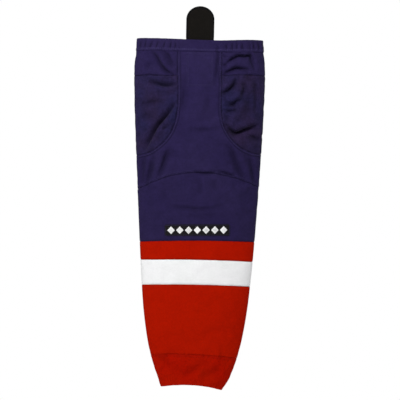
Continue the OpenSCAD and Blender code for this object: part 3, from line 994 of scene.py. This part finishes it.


# The last argument sets how strong the painted shade is in the creases and along the seams.
def knit(name, colour, tint, wale=1.15 * MM, course=0.95 * MM, amount=0.09, depth=0.16 * MM, roughness=0.85,
         sheen=0.04, sheen_tint=(1, 1, 1), specular=0.06, painted_shade_strength=0.55):
    paint = Paint(name, roughness, specular, sheen, sheen_tint)
    loops = knit_height(paint, wale, course)
    fuzz = paint.noise(0.5 * MM, 3)
    # The knit's shade takes the painted shade of creases and seams.
    shade = paint.with_painted_shade((loops + fuzz * 0.3).fit(0, 1.3, 0.72, 1.2), painted_shade_strength)
    return paint.finish(shade.scale(paint.cloudy(colour, tint, amount)), loops + fuzz * 0.35, depth,
                        fuzz.fit(0.3, 0.7, roughness - 0.08, roughness + 0.08))


def eyelet_mesh(name, colour, tint):
    """Knit mesh whose staggered rows of small holes are painted: darker dots, as painted shade for the inside
    seen through them, and a bump; the cloth stays solid.
    """
    paint = Paint(name, 0.9, 0.06, 0.04, (0.8, 0.7, 0.9))
    pitch_u, pitch_v = 2.3 * MM, 2.1 * MM
    stagger = (paint.u / pitch_u).math("FLOOR").math("MODULO", 2.0) * (pitch_v / 2)
    across = paint.u.saw(pitch_u) - 0.5
    down = (paint.v + stagger).saw(pitch_v) - 0.5
    solid = (across * across + down * down).math("SQRT").fit(0.17, 0.3, 0, 1)
    fine = knit_height(paint, pitch_u / 4, pitch_v / 4)
    # The holes are painted darker, as painted shade for the inside seen through them.
    shade = paint.with_painted_shade(solid.fit(0, 1, 0.4, 1.06) * fine.fit(0, 1, 0.85, 1.1), 0.6)
    return paint.finish(shade.scale(paint.cloudy(colour, tint, 0.17)), solid + fine * 0.25, 0.3 * MM,
                        solid.fit(0, 1, 1.0, 0.86))


def thread(name, colour):
    paint = Paint(name, 0.6, 0.06)
    twist = paint.u.plus(1.6, paint.v).waves(0.62 * MM)
    shade = twist.fit(0, 1, 0.65, 1.25) * paint.noise(5 * MM).fit(0.3, 0.7, 0.88, 1.12)
    return paint.finish(shade.scale(colour), twist, 0.08 * MM, twist.fit(0, 1, 0.65, 0.5))


def woven_tape(name, colour, selvedge):
    """Woven nylon tape: a plain weave inside a denser, darker selvedge, with a slightly worn edge."""
    paint = Paint(name, 0.72, 0.09, 0.02)
    over = (paint.u.waves(0.9 * MM) - paint.v.waves(0.7 * MM)).math("ABSOLUTE")
    way_in = paint.layer("edge")[1]
    inside = way_in.fit(3.4 * MM, 4.0 * MM, 0, 1)
    worn = way_in.fit(0, 0.9 * MM, 1, 0) * paint.noise(3 * MM, 4).fit(0.5, 0.75, 0, 1)
    ground = worn.mix(inside.mix(selvedge, colour), (0.03, 0.028, 0.026))
    shade = over.fit(0, 1, 0.75, 1.2) * paint.noise(9 * MM, 3).fit(0.3, 0.7, 0.85, 1.2)
    return paint.finish(shade.scale(ground), over - inside * 0.4, 0.18 * MM, over.fit(0, 1, 0.8, 0.64))


def moulded(name, colour):
    """Moulded nylon with a faint grain."""
    paint = Paint(name, 0.5, 0.2)
    grain = paint.noise(0.4 * MM, 3)
    shade = paint.noise(6 * MM, 3).fit(0.3, 0.7, 0.8, 1.25)
    return paint.finish(shade.scale(grain.mix(colour, tuple(1.5 * c for c in colour))), grain, 0.05 * MM,
                        grain.fit(0.3, 0.7, 0.42, 0.6))


def ribbed_elastic(name, colour):
    paint = Paint(name, 0.8, 0.3, 0.1)
    picks = paint.u.waves(1.1 * MM)
    height = paint.v.waves(ELASTIC_RIB) + picks * 0.4
    return paint.finish(height.fit(0, 1.4, 0.68, 1.05).scale(paint.cloudy(colour, (0.66, 0.64, 0.58), 0.06)),
                        height, 0.25 * MM, picks.fit(0, 1, 0.85, 0.7))


def twill(name, colour, tint):
    paint = Paint(name, 0.75, 0.1, 0.03)
    ribs = paint.u.plus(1.7, paint.v).waves(0.85 * MM)
    height = ribs + paint.u.waves(0.42 * MM) * 0.3
    return paint.finish(height.fit(0, 1.3, 0.7, 1.2).scale(paint.cloudy(colour, tint, 0.1)), height,
                        0.14 * MM, ribs.fit(0, 1, 0.82, 0.68))


def rubber_print(name, colour):
    """Raised transfer print, with the weave under it showing faintly through, and slight soiling."""
    paint = Paint(name, 0.45, 0.4)
    weave = paint.u.waves(0.84 * MM) * paint.v.waves(0.84 * MM)
    grain = paint.noise(0.5 * MM, 3)
    shade = weave.fit(0, 1, 0.95, 1) * paint.noise(5 * MM, 4).fit(0.35, 0.75, 1, 0.93)
    return paint.finish(shade.scale(colour), weave + grain * 0.3, 0.03 * MM, grain.fit(0.3, 0.7, 0.4, 0.55))


ELASTIC_RIB = 1.9 * MM         # height of one rib of the elastic
NAVY, NAVY_TINT = (0.0168, 0.0110, 0.0512), (0.0188, 0.0126, 0.0532)
MESH_NAVY, MESH_TINT = (0.0134, 0.0114, 0.0500), (0.0206, 0.0122, 0.0430)
RED, RED_TINT = (0.405, 0.0076, 0.0002), (0.388, 0.0070, 0.0003)
CUFF_RED = (0.394, 0.0050, 0.0002)
# Red cloth takes less painted shade in its creases and seams.
red_cloth = {"sheen": 0.03, "sheen_tint": (1, 0.1, 0.02), "specular": 0.015, "painted_shade_strength": 0.4}

finishes = {
    "navy_knit": knit("navy_knit", NAVY, NAVY_TINT, sheen_tint=(0.5, 0.5, 0.9)),
    "mesh_knit": eyelet_mesh("mesh_knit", MESH_NAVY, MESH_TINT),
    "red_knit": knit("red_knit", RED, RED_TINT, amount=0.04, **red_cloth),
    "white_knit": knit("white_knit", (0.90, 0.90, 0.91), (0.88, 0.89, 0.89), amount=0.02, sheen=0.05,
                       painted_shade_strength=0.2),
    "cuff_knit": knit("cuff_knit", CUFF_RED, RED_TINT, wale=1.7 * MM, course=1.1 * MM, depth=0.3 * MM,
                      amount=0.05, **red_cloth),
    "navy_thread": thread("navy_thread", (0.036, 0.027, 0.092)),
    "hem_thread": thread("hem_thread", (0.052, 0.041, 0.128)),
    "red_thread": thread("red_thread", (0.350, 0.0045, 0.0004)),
    "hook_tape": woven_tape("hook_tape", (0.0038, 0.0028, 0.0019), (0.0011, 0.0009, 0.0010)),
    "hook_field": moulded("hook_field", (0.0075, 0.0070, 0.0065)),
    "elastic": ribbed_elastic("elastic", (0.74, 0.74, 0.71)),
    "patch_cloth": twill("patch_cloth", (0.0085, 0.0078, 0.0088), (0.0105, 0.0090, 0.0110)),
    "patch_print": rubber_print("patch_print", (0.90, 0.90, 0.90)),
}


# ---------------------------------------------------------------- elastic, seam allowances, tabs and patch

ELASTIC_T = 1.5 * MM
TAPE_T = 1.5 * MM
OVERLOCK_WAVE = 1.8 * MM       # spacing of the thread ridges on a seam allowance
TAB_DOME = 25 * MM             # height of the tab's domed end
TAB_HALF, TAB_TOP = (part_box("front_tab_strap")[1][k] for k in (0, 2))
TAB_FACE = -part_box("front_tab_strap")[0].y
ANCHOR_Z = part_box("front_tab_anchor")[0].z
HOOK_INSET = TAB_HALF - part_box("front_tab_hooks")[1].x
HOOK_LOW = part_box("front_tab_hooks")[0].z
PATCH_LOW, PATCH_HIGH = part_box("emblem_patch")
PATCH_T = 0.5 * MM
PATCH_LIFT = 0.2 * MM


def hem_elastic():
    """Ribbed elastic inside the hem."""
    wall = (HEM_T - ELASTIC_T) / 2
    columns, rows = 280, 42
    s = np.repeat(np.linspace(-0.4985, 0.4985, columns), rows)
    z = np.tile(np.linspace(-wall - 1 * MM, HEM_LOW + 1 * MM, rows), columns)
    rib = 0.12 * MM * (np.cos(TAU * z / ELASTIC_RIB) - 1)
    return lay("hem_elastic_band", s, z, grid_faces(rows, columns), HEM_PROUD - wall + rib,
               ELASTIC_T + 2 * rib)


def back_seam(word):
    """Overlocked seam allowance inside the centre of the back, ridged by its thread."""
    bottom, top = (corner.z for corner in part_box("back_seam_" + word))
    half = 3 * MM
    across = np.linspace(-half, half, 9)
    down = np.arange(top, bottom, -0.6 * MM)
    u, z = np.repeat(across, len(down)), np.tile(down, len(across))
    ridge = 0.22 * MM * np.abs(np.sin(math.pi * (z + 0.3 * u) / OVERLOCK_WAVE))
    thickness = 1.1 * MM + ridge - 0.3 * MM * (u / half) ** 4
    return lay(f"back_seam_{word}_overlock", 0.5 + u / perimeter(z), z, grid_faces(len(down), len(across)),
               -CLOTH - 0.25 * MM, thickness, np.stack([z, u], 1))


def overlock(name, path, low=-3 * MM, high=3 * MM):
    """Overlocked seam allowances that lie flat inside the tube along a (share, height) path."""
    length = walked(unrolled(*path.T))[-1]
    path = evenly(path, int(length / (1.4 * MM)))
    middle = unrolled(*path.T)
    ahead = unit(np.gradient(middle, axis=0))
    across = np.linspace(high, low, 8)
    here = middle[:, None, :] + across[None, :, None] * np.stack([-ahead[:, 1], ahead[:, 0]], 1)[:, None, :]
    z = here[..., 1].ravel()
    run, u = np.repeat(np.linspace(0, length, len(path)), len(across)), np.tile(across, len(path))
    ridge = 0.15 * MM * np.abs(np.sin(math.pi * (run + 0.3 * u) / OVERLOCK_WAVE))
    return lay(name, here[..., 0].ravel() / perimeter(z), z, grid_faces(len(across), len(path)),
               -CLOTH - 0.02 * MM, 0.8 * MM + ridge, np.stack([run, u], 1))


def way_in(x, z):
    """Distance from a point of the tab to its edge."""
    up = np.maximum(z - (TAB_TOP - TAB_DOME), 0)
    share = np.hypot(x / TAB_HALF, up / TAB_DOME)
    slope = np.hypot(x / TAB_HALF ** 2, up / TAB_DOME ** 2) / np.maximum(share, 1e-6)
    return np.where(up > 0, (1 - share) / np.maximum(slope, 1), TAB_HALF - np.abs(x))


def on_tab(x, z, back, side):
    """Point of the tab, back metres behind its outer face. side is -1 at the front and 1 at the back. Above
    the hem the tab is flat, and its sewn end follows the inside of the hem and then of the panel."""
    lower, above = np.minimum(z, -2 * MM), np.maximum(z, 0) / TAB_TOP
    s = share_at(x, lower)
    inside = HEM_PROUD - HEM_T + CLOTH
    inside = -CLOTH - 0.5 * MM + inside * soft_step(lower, -38 * MM, HEM_LOW - 1 * MM)
    sewn = place(s if side < 0 else 0.5 - s, lower, inside - back)
    sewn[:, 2] += z - lower
    curl = 1.1 * MM * above ** 2 + 0.35 * MM * np.sin(x / (9 * MM)) * above
    flat = np.stack([x, side * (TAB_FACE - back - curl), z], 1)
    share = soft_step(z, -7 * MM, 5 * MM)[:, None]
    return sewn * (1 - share) + flat * share


def tab_grid(low, inset, columns):
    """Places on the tab from a height up to its domed end, its edge moved in by inset, and their quads."""
    spring = TAB_TOP - TAB_DOME
    dome = TAB_DOME - inset
    turn = np.linspace(0, math.pi / 2, 22)
    z = np.concatenate([np.arange(low, spring, ROW), spring + dome * np.sin(turn)])[::-1]
    rise = np.clip((z - spring) / dome, 0, 1)
    x = np.linspace(-1, 1, columns)[:, None] * (TAB_HALF - inset) * np.sqrt(1 - rise * rise)[None, :]
    return x.ravel(), np.tile(z, columns), grid_faces(len(z), columns)


def tape(word, side):
    """Hook tape from its sewn end inside the sock up to its round end above the hem."""
    x, z, faces = tab_grid(ANCHOR_Z, 0.0, 29)
    bead = 0.18 * MM * bump(way_in(x, z), 1.5 * MM, 1.3 * MM)
    piece = thick(word + "_tab_tape", on_tab(x, z, -bead, side), on_tab(x, z, TAPE_T + bead, side),
                  faces if side < 0 else faces[:, ::-1], np.stack([x, z], 1))
    add_uv(piece, "edge", np.tile(np.stack([way_in(x, z), 0 * x], 1), (2, 1)))
    return piece


def hook_field(word, side):
    """Backing of the hooks, and its rows of small bent hooks, on the tab's inner face."""
    x, z, faces = tab_grid(HOOK_LOW, HOOK_INSET, 25)
    base, plate = TAPE_T + 0.05 * MM, 0.3 * MM
    backing = [on_tab(x, z, base, side), on_tab(x, z, base + plate, side)]
    faces = closed(faces if side < 0 else faces[:, ::-1], len(x)).tolist()
    pitch_x, pitch_z = 1.5 * MM, 1.45 * MM
    x, z = np.meshgrid(np.arange(-15, 16) * pitch_x, np.arange(HOOK_LOW + 1.2 * MM, TAB_TOP, pitch_z))
    x = x + (np.arange(len(x)) % 2)[:, None] * pitch_x / 2
    on_field = way_in(x, z) > HOOK_INSET + 0.8 * MM
    stem = np.array([(0, 0), (0, 0.42), (0.1, 0.72), (0.34, 0.86), (0.56, 0.72)]) * MM
    thin = (np.array([1, 0.8, 0.75, 0.7, 0.4]) * 0.16 * MM)[:, None]
    lean = np.arctan2(*np.gradient(stem, axis=0).T)[:, None]
    turn = np.arange(5) * TAU / 5
    x = x[on_field][:, None, None] + thin * np.cos(turn)
    z = z[on_field][:, None, None] + stem[:, :1] + thin * np.sin(turn) * np.cos(lean)
    off = base + plate + stem[:, 1:] - thin * np.sin(turn) * np.sin(lean) + 0 * x
    hooks, walls, ends = tubes(on_tab(x.ravel(), z.ravel(), off.ravel(), side).reshape(x.shape + (3,)))
    for part in (walls, ends):
        faces += ((part if side > 0 else part[:, ::-1]) + 2 * len(backing[0])).tolist()
    points = np.concatenate(backing + [hooks])
    return make(word + "_tab_hook_field", points, faces, points[:, [0, 2]])


def emblem_patch():
    """Dense cloth patch with rounded corners, on the knee panel above the bands."""
    half_wide, half_high = PATCH_HIGH.x, (PATCH_HIGH.z - PATCH_LOW.z) / 2
    middle = (PATCH_HIGH.z + PATCH_LOW.z) / 2
    corner = 3.5 * MM
    across, down = np.meshgrid(np.linspace(-1, 1, 91), np.linspace(1, -1, 21), indexing="ij")
    x = (across * half_wide).ravel()
    over = np.maximum(np.abs(x) - (half_wide - corner), 0)
    lost = corner - np.sqrt(np.maximum(corner ** 2 - over ** 2, 0))
    z = middle + down.ravel() * (half_high - lost)
    edge = np.minimum(half_wide - np.abs(x), half_high - np.abs(z - middle))
    off = PATCH_LIFT + PATCH_T - 0.25 * MM * bump(edge, 0, 0.8 * MM)
    return lay("emblem_patch_cloth", share_at(x, z), z, grid_faces(21, 91), off, off - PATCH_LIFT + 0.05 * MM)


def emblem_print():
    """Row of plain raised diamonds with soft edges."""
    marks = vertices("emblem_print")
    top, bottom = marks[:, 2].max(), marks[:, 2].min()
    centres = np.unique(np.round(marks[marks[:, 2] > top - 0.1 * MM][:, 0], 4))
    wide = marks[:, 0].max() - centres.max()
    n = 15
    ease = np.sin(np.linspace(-1, 1, n) * math.pi / 2)
    p, q = (g.ravel() for g in np.meshgrid(ease, ease, indexing="ij"))
    x = (centres[:, None] + (p + q) / 2 * wide).ravel()
    z = np.tile((top + bottom) / 2 + (p - q) / 2 * (top - bottom) / 2, len(centres))
    proud = np.tile(0.4 * MM * (1 - np.maximum(np.abs(p), np.abs(q)) ** 16), len(centres))
    faces = np.concatenate([grid_faces(n, n) + k * n * n for k in range(len(centres))])
    return lay("emblem_print_marks", share_at(x, z), z, faces, PATCH_LIFT + PATCH_T + proud, proud + 0.1 * MM)


# ---------------------------------------------------------------- pieces on their bodies

BENDS = {                      # what bends: the body it runs on to from the thigh, and between which points
    "knee": ("shin", Vector((0, 0, -0.196)), Vector((0, 0, -0.366))),
    "front_tape": ("front_tab", Vector((0, 0, -0.006)), Vector((0, 0, 0.006))),
    "back_tape": ("back_tab", Vector((0, 0, -0.006)), Vector((0, 0, 0.006))),
}
SIDES = ((-1, "left"), (1, "right"))


def dress(piece, finish, body, *nodes):
    """Gives a piece its finish and its body, and hides the CAD nodes that it stands for. A piece whose body
    is a bend is left unparented, with its transform applied.
    """
    piece.data.materials.append(finishes[finish])
    if nodes:
        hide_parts(*nodes)
    if body in BENDS:
        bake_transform(piece)
    else:
        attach(piece, body)
    return piece


def declare(piece, turned_over=False):
    """Measures a sheet of cloth's width and length on its cloth uv, halving the length where it is turned
    over; the sizes are not kept.
    """
    uv = np.zeros(len(piece.data.loops) * 2, np.float32)
    piece.data.uv_layers["cloth"].data.foreach_get("uv", uv)
    corner = uv.reshape(-1, 4, 2)
    width, length = (float(x) for x in np.ptp(corner.reshape(-1, 2), axis=0))
    length = length / 2 if turned_over else length


cloth = {"front_panel": dress(front_panel("front_panel"), "navy_knit", "knee", "front_panel")}
for node, side in (("side_yoke_left", -1), ("side_yoke_right", 1)):
    cloth[node] = dress(yoke(node, side), "navy_knit", "thigh", node)
for node, side in (("mesh_panel_left", -1), ("mesh_panel_right", 1)):
    cloth[node] = dress(mesh_panel(node, side), "mesh_knit", "knee", node)
for node, top_seam, low_seam, finish, body in (("knee_panel", knee_seam, red_seam, "navy_knit", "knee"),
                                               ("red_band", red_seam, white_seam, "red_knit", "shin"),
                                               ("white_band", white_seam, shin_seam, "white_knit", "shin"),
                                               ("shin_panel", shin_seam, cuff_seam, "red_knit", "shin")):
    cloth[node] = dress(band_panel(node, top_seam, low_seam), finish, body, node)
cloth["top_hem"] = dress(hem(), "navy_knit", "thigh", "top_hem")
cloth["ankle_cuff"] = dress(cuff(), "cuff_knit", "shin", "ankle_cuff")

# Rows of stitches, each at its distance below a seam, or inward from the mesh seam.
for word, seam, rows, off, finish, body in (
        ("hem", hem_seam, (-3.2, -5.0), HEM_PROUD, "hem_thread", "thigh"),
        ("knee_seam", knee_seam, (-1.9, -4.5), 0.0, "navy_thread", "knee"),
        ("cuff", cuff_seam, (2.0, 4.6), 0.0, "red_thread", "shin")):
    lines = [round_line(seam, row * MM) for row in rows]
    dress(stitches(word + "_stitches", lines, off), finish, body, word + "_stitching")
for side, word in SIDES:
    lines = [mesh_line(row * MM) * [side, 1] for row in (1.7, 3.1)]
    dress(stitches("mesh_seam_stitches_" + word, lines), "navy_thread", "knee", "mesh_seam_stitching_" + word)

# The elastic, and the seams' allowances in their thread.
cloth["hem_elastic"] = dress(hem_elastic(), "elastic", "thigh", "hem_elastic")
dress(back_seam("thigh"), "navy_thread", "knee", "back_seam_thigh")
dress(back_seam("shin"), "red_thread", "knee", "back_seam_shin")
for word, seam, finish, body in (("knee", knee_seam, "navy_thread", "knee"),
                                 ("red", red_seam, "navy_thread", "shin"),
                                 ("white", white_seam, "red_thread", "shin"),
                                 ("shin", shin_seam, "red_thread", "shin"),
                                 ("cuff", cuff_seam, "red_thread", "shin")):
    dress(overlock(word + "_seam_overlock", round_line(seam, 0.0)), finish, body)
dress(overlock("hem_overlock", round_line(hem_seam, 0.0), -3.5 * MM, 0.7 * MM), "navy_thread", "thigh")
for side, word in SIDES:
    dress(overlock("mesh_seam_overlock_" + word, mirrored(mesh_line(0.0), side)), "navy_thread", "knee")
    dress(overlock("yoke_seam_overlock_" + word, mirrored(level_edge(YOKE_Z, 200, PANEL_HALF), side)),
          "navy_thread", "thigh")

for side, word, centre in ((-1, "front", 0.0), (1, "back", 0.5)):
    tab = word + "_tab"
    cloth[tab] = dress(tape(word, side), "hook_tape", word + "_tape", tab + "_strap", tab + "_anchor")
    dress(hook_field(word, side), "hook_field", tab, tab + "_hooks")
    boxes = [box_line(half * MM, HEM_LOW - inset * MM, ANCHOR_Z + inset * MM, centre)
             for half, inset in ((24, 2.5), (21.5, 5))]
    dress(stitches(tab + "_stitches", boxes), "navy_thread", "thigh", tab + "_stitching")

PATCH_EDGE = 1.5 * MM          # from the patch's edge in to its stitches
cloth["emblem_patch"] = dress(emblem_patch(), "patch_cloth", "knee", "emblem_patch")
marks = dress(emblem_print(), "patch_print", "knee", "emblem_print")
patch_line = box_line(PATCH_HIGH.x - PATCH_EDGE, PATCH_HIGH.z - PATCH_EDGE, PATCH_LOW.z + PATCH_EDGE)
patch_stitches = dress(stitches("emblem_patch_stitches", [patch_line], PATCH_LIFT + PATCH_T), "navy_thread",
                       "knee")

# ---------------------------------------------------------------- sheets of cloth, measured; their sizes are not kept

declare(cloth["top_hem"], turned_over=True)
declare(cloth["hem_elastic"])
declare(cloth["ankle_cuff"], turned_over=True)
for node, above in (("front_panel", "top_hem"), ("side_yoke_left", "top_hem"), ("side_yoke_right", "top_hem"),
                    ("mesh_panel_left", "side_yoke_left"), ("mesh_panel_right", "side_yoke_right"),
                    ("knee_panel", "front_panel"), ("red_band", "knee_panel"), ("white_band", "red_band"),
                    ("shin_panel", "white_band")):
    declare(cloth[node])
declare(cloth["emblem_patch"])
for tab in ("front_tab", "back_tab"):
    declare(cloth[tab])

# ---------------------------------------------------------------- studio

FLOOR_DROP = 0.34              # the floor lies this far below the ankle edge
FLOOR_HALF = 14.0              # its half-width
FLOOR_BACK = 3.4               # it ends where the main view would begin to see it
GREY_END, WHITE_START = 0.8, 3.2       # between these distances its grey fades into the white surroundings
FRAMED = 0.7520                # width of the view at the middle of the sock's front half


def wire(tree, *pairs):
    """Links pairs of sockets, an output to an input."""
    for output, target in pairs:
        tree.links.new(output, target)


def studio_floor():
    mesh = bpy.data.meshes.new("floor")
    r = FLOOR_HALF
    mesh.from_pydata([(-r, -r, 0), (r, -r, 0), (r, FLOOR_BACK, 0), (-r, FLOOR_BACK, 0)], [], [(0, 1, 2, 3)])
    floor = link("floor", mesh)
    floor.location.z = ANKLE_SIDE - FLOOR_DROP
    material = bpy.data.materials.new("studio_floor")
    material.use_nodes = True
    tree = material.node_tree
    shader = tree.nodes["Principled BSDF"]
    for socket, value in (("Base Color", (0.86, 0.86, 0.86, 1)), ("Roughness", 0.9),
                          ("Specular IOR Level", 0.1), ("Emission Color", (1, 1, 1, 1)),
                          ("Emission Strength", 0.2)):
        shader.inputs[socket].default_value = value
    place_on, way, fade, white, blend = (tree.nodes.new("ShaderNode" + kind) for kind in (
        "TexCoord", "VectorMath", "MapRange", "Emission", "MixShader"))
    way.operation = "LENGTH"
    fade.interpolation_type = "SMOOTHSTEP"
    fade.inputs["From Min"].default_value = GREY_END
    fade.inputs["From Max"].default_value = WHITE_START
    wire(tree, (place_on.outputs["Object"], way.inputs[0]), (way.outputs["Value"], fade.inputs["Value"]),
         (fade.outputs[0], blend.inputs[0]), (shader.outputs[0], blend.inputs[1]),
         (white.outputs[0], blend.inputs[2]),
         (blend.outputs[0], tree.nodes["Material Output"].inputs["Surface"]))
    mesh.materials.append(material)


def world():
    """White surroundings that light the object softly."""
    scene_world = bpy.data.worlds.new("studio")
    scene_world.use_nodes = True
    tree = scene_world.node_tree
    plain = tree.nodes["Background"]
    seen, path, choose = (tree.nodes.new("ShaderNode" + kind) for kind in (
        "Background", "LightPath", "MixShader"))
    plain.inputs["Color"].default_value = seen.inputs["Color"].default_value = (1, 1, 1, 1)
    plain.inputs["Strength"].default_value = 0.17
    wire(tree, (path.outputs["Is Camera Ray"], choose.inputs[0]), (plain.outputs[0], choose.inputs[1]),
         (seen.outputs[0], choose.inputs[2]),
         (choose.outputs[0], tree.nodes["World Output"].inputs["Surface"]))
    bpy.context.scene.world = scene_world


def lamp(name, kind, power, towards, at=(0, 0, 0), angle=None, size=None):
    """A sun or a square area light, seen from the object in the direction towards."""
    light = bpy.data.lights.new(name, kind)
    light.energy = power
    if kind == "SUN":
        light.angle = math.radians(angle)
    else:
        light.size = size
    made = link(name, light)
    made.location = at
    made.rotation_euler = Vector(towards).to_track_quat("Z", "Y").to_euler()


def camera():
    """Straight in front of the hanging sock, with the picture's slight tilt."""
    data = bpy.data.cameras.new("camera")
    data.lens = 200
    data.sensor_width = 36
    data.clip_end = 50
    eye = link("camera", data)
    away = FRAMED * data.lens / data.sensor_width
    eye.location = (0.0064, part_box("front_panel")[0].y / 2 - away, -0.3031)
    eye.rotation_euler = (math.radians(90), math.radians(-1.2), 0)
    bpy.context.scene.camera = eye


studio_floor()
world()
SOFTBOX, THIGH = Vector((-0.30, -0.87, 0.58)), Vector((0, 0, -0.2))
lamp("key", "SUN", 0.55, (-0.40, -0.80, 0.60), angle=12)
lamp("softbox", "AREA", 11.6, SOFTBOX - THIGH, at=SOFTBOX, size=0.5)
lamp("fill", "SUN", 1.1, (0.6, 0.5, 0.5), angle=40)
camera()
bpy.context.scene.view_settings.view_transform = "Standard"
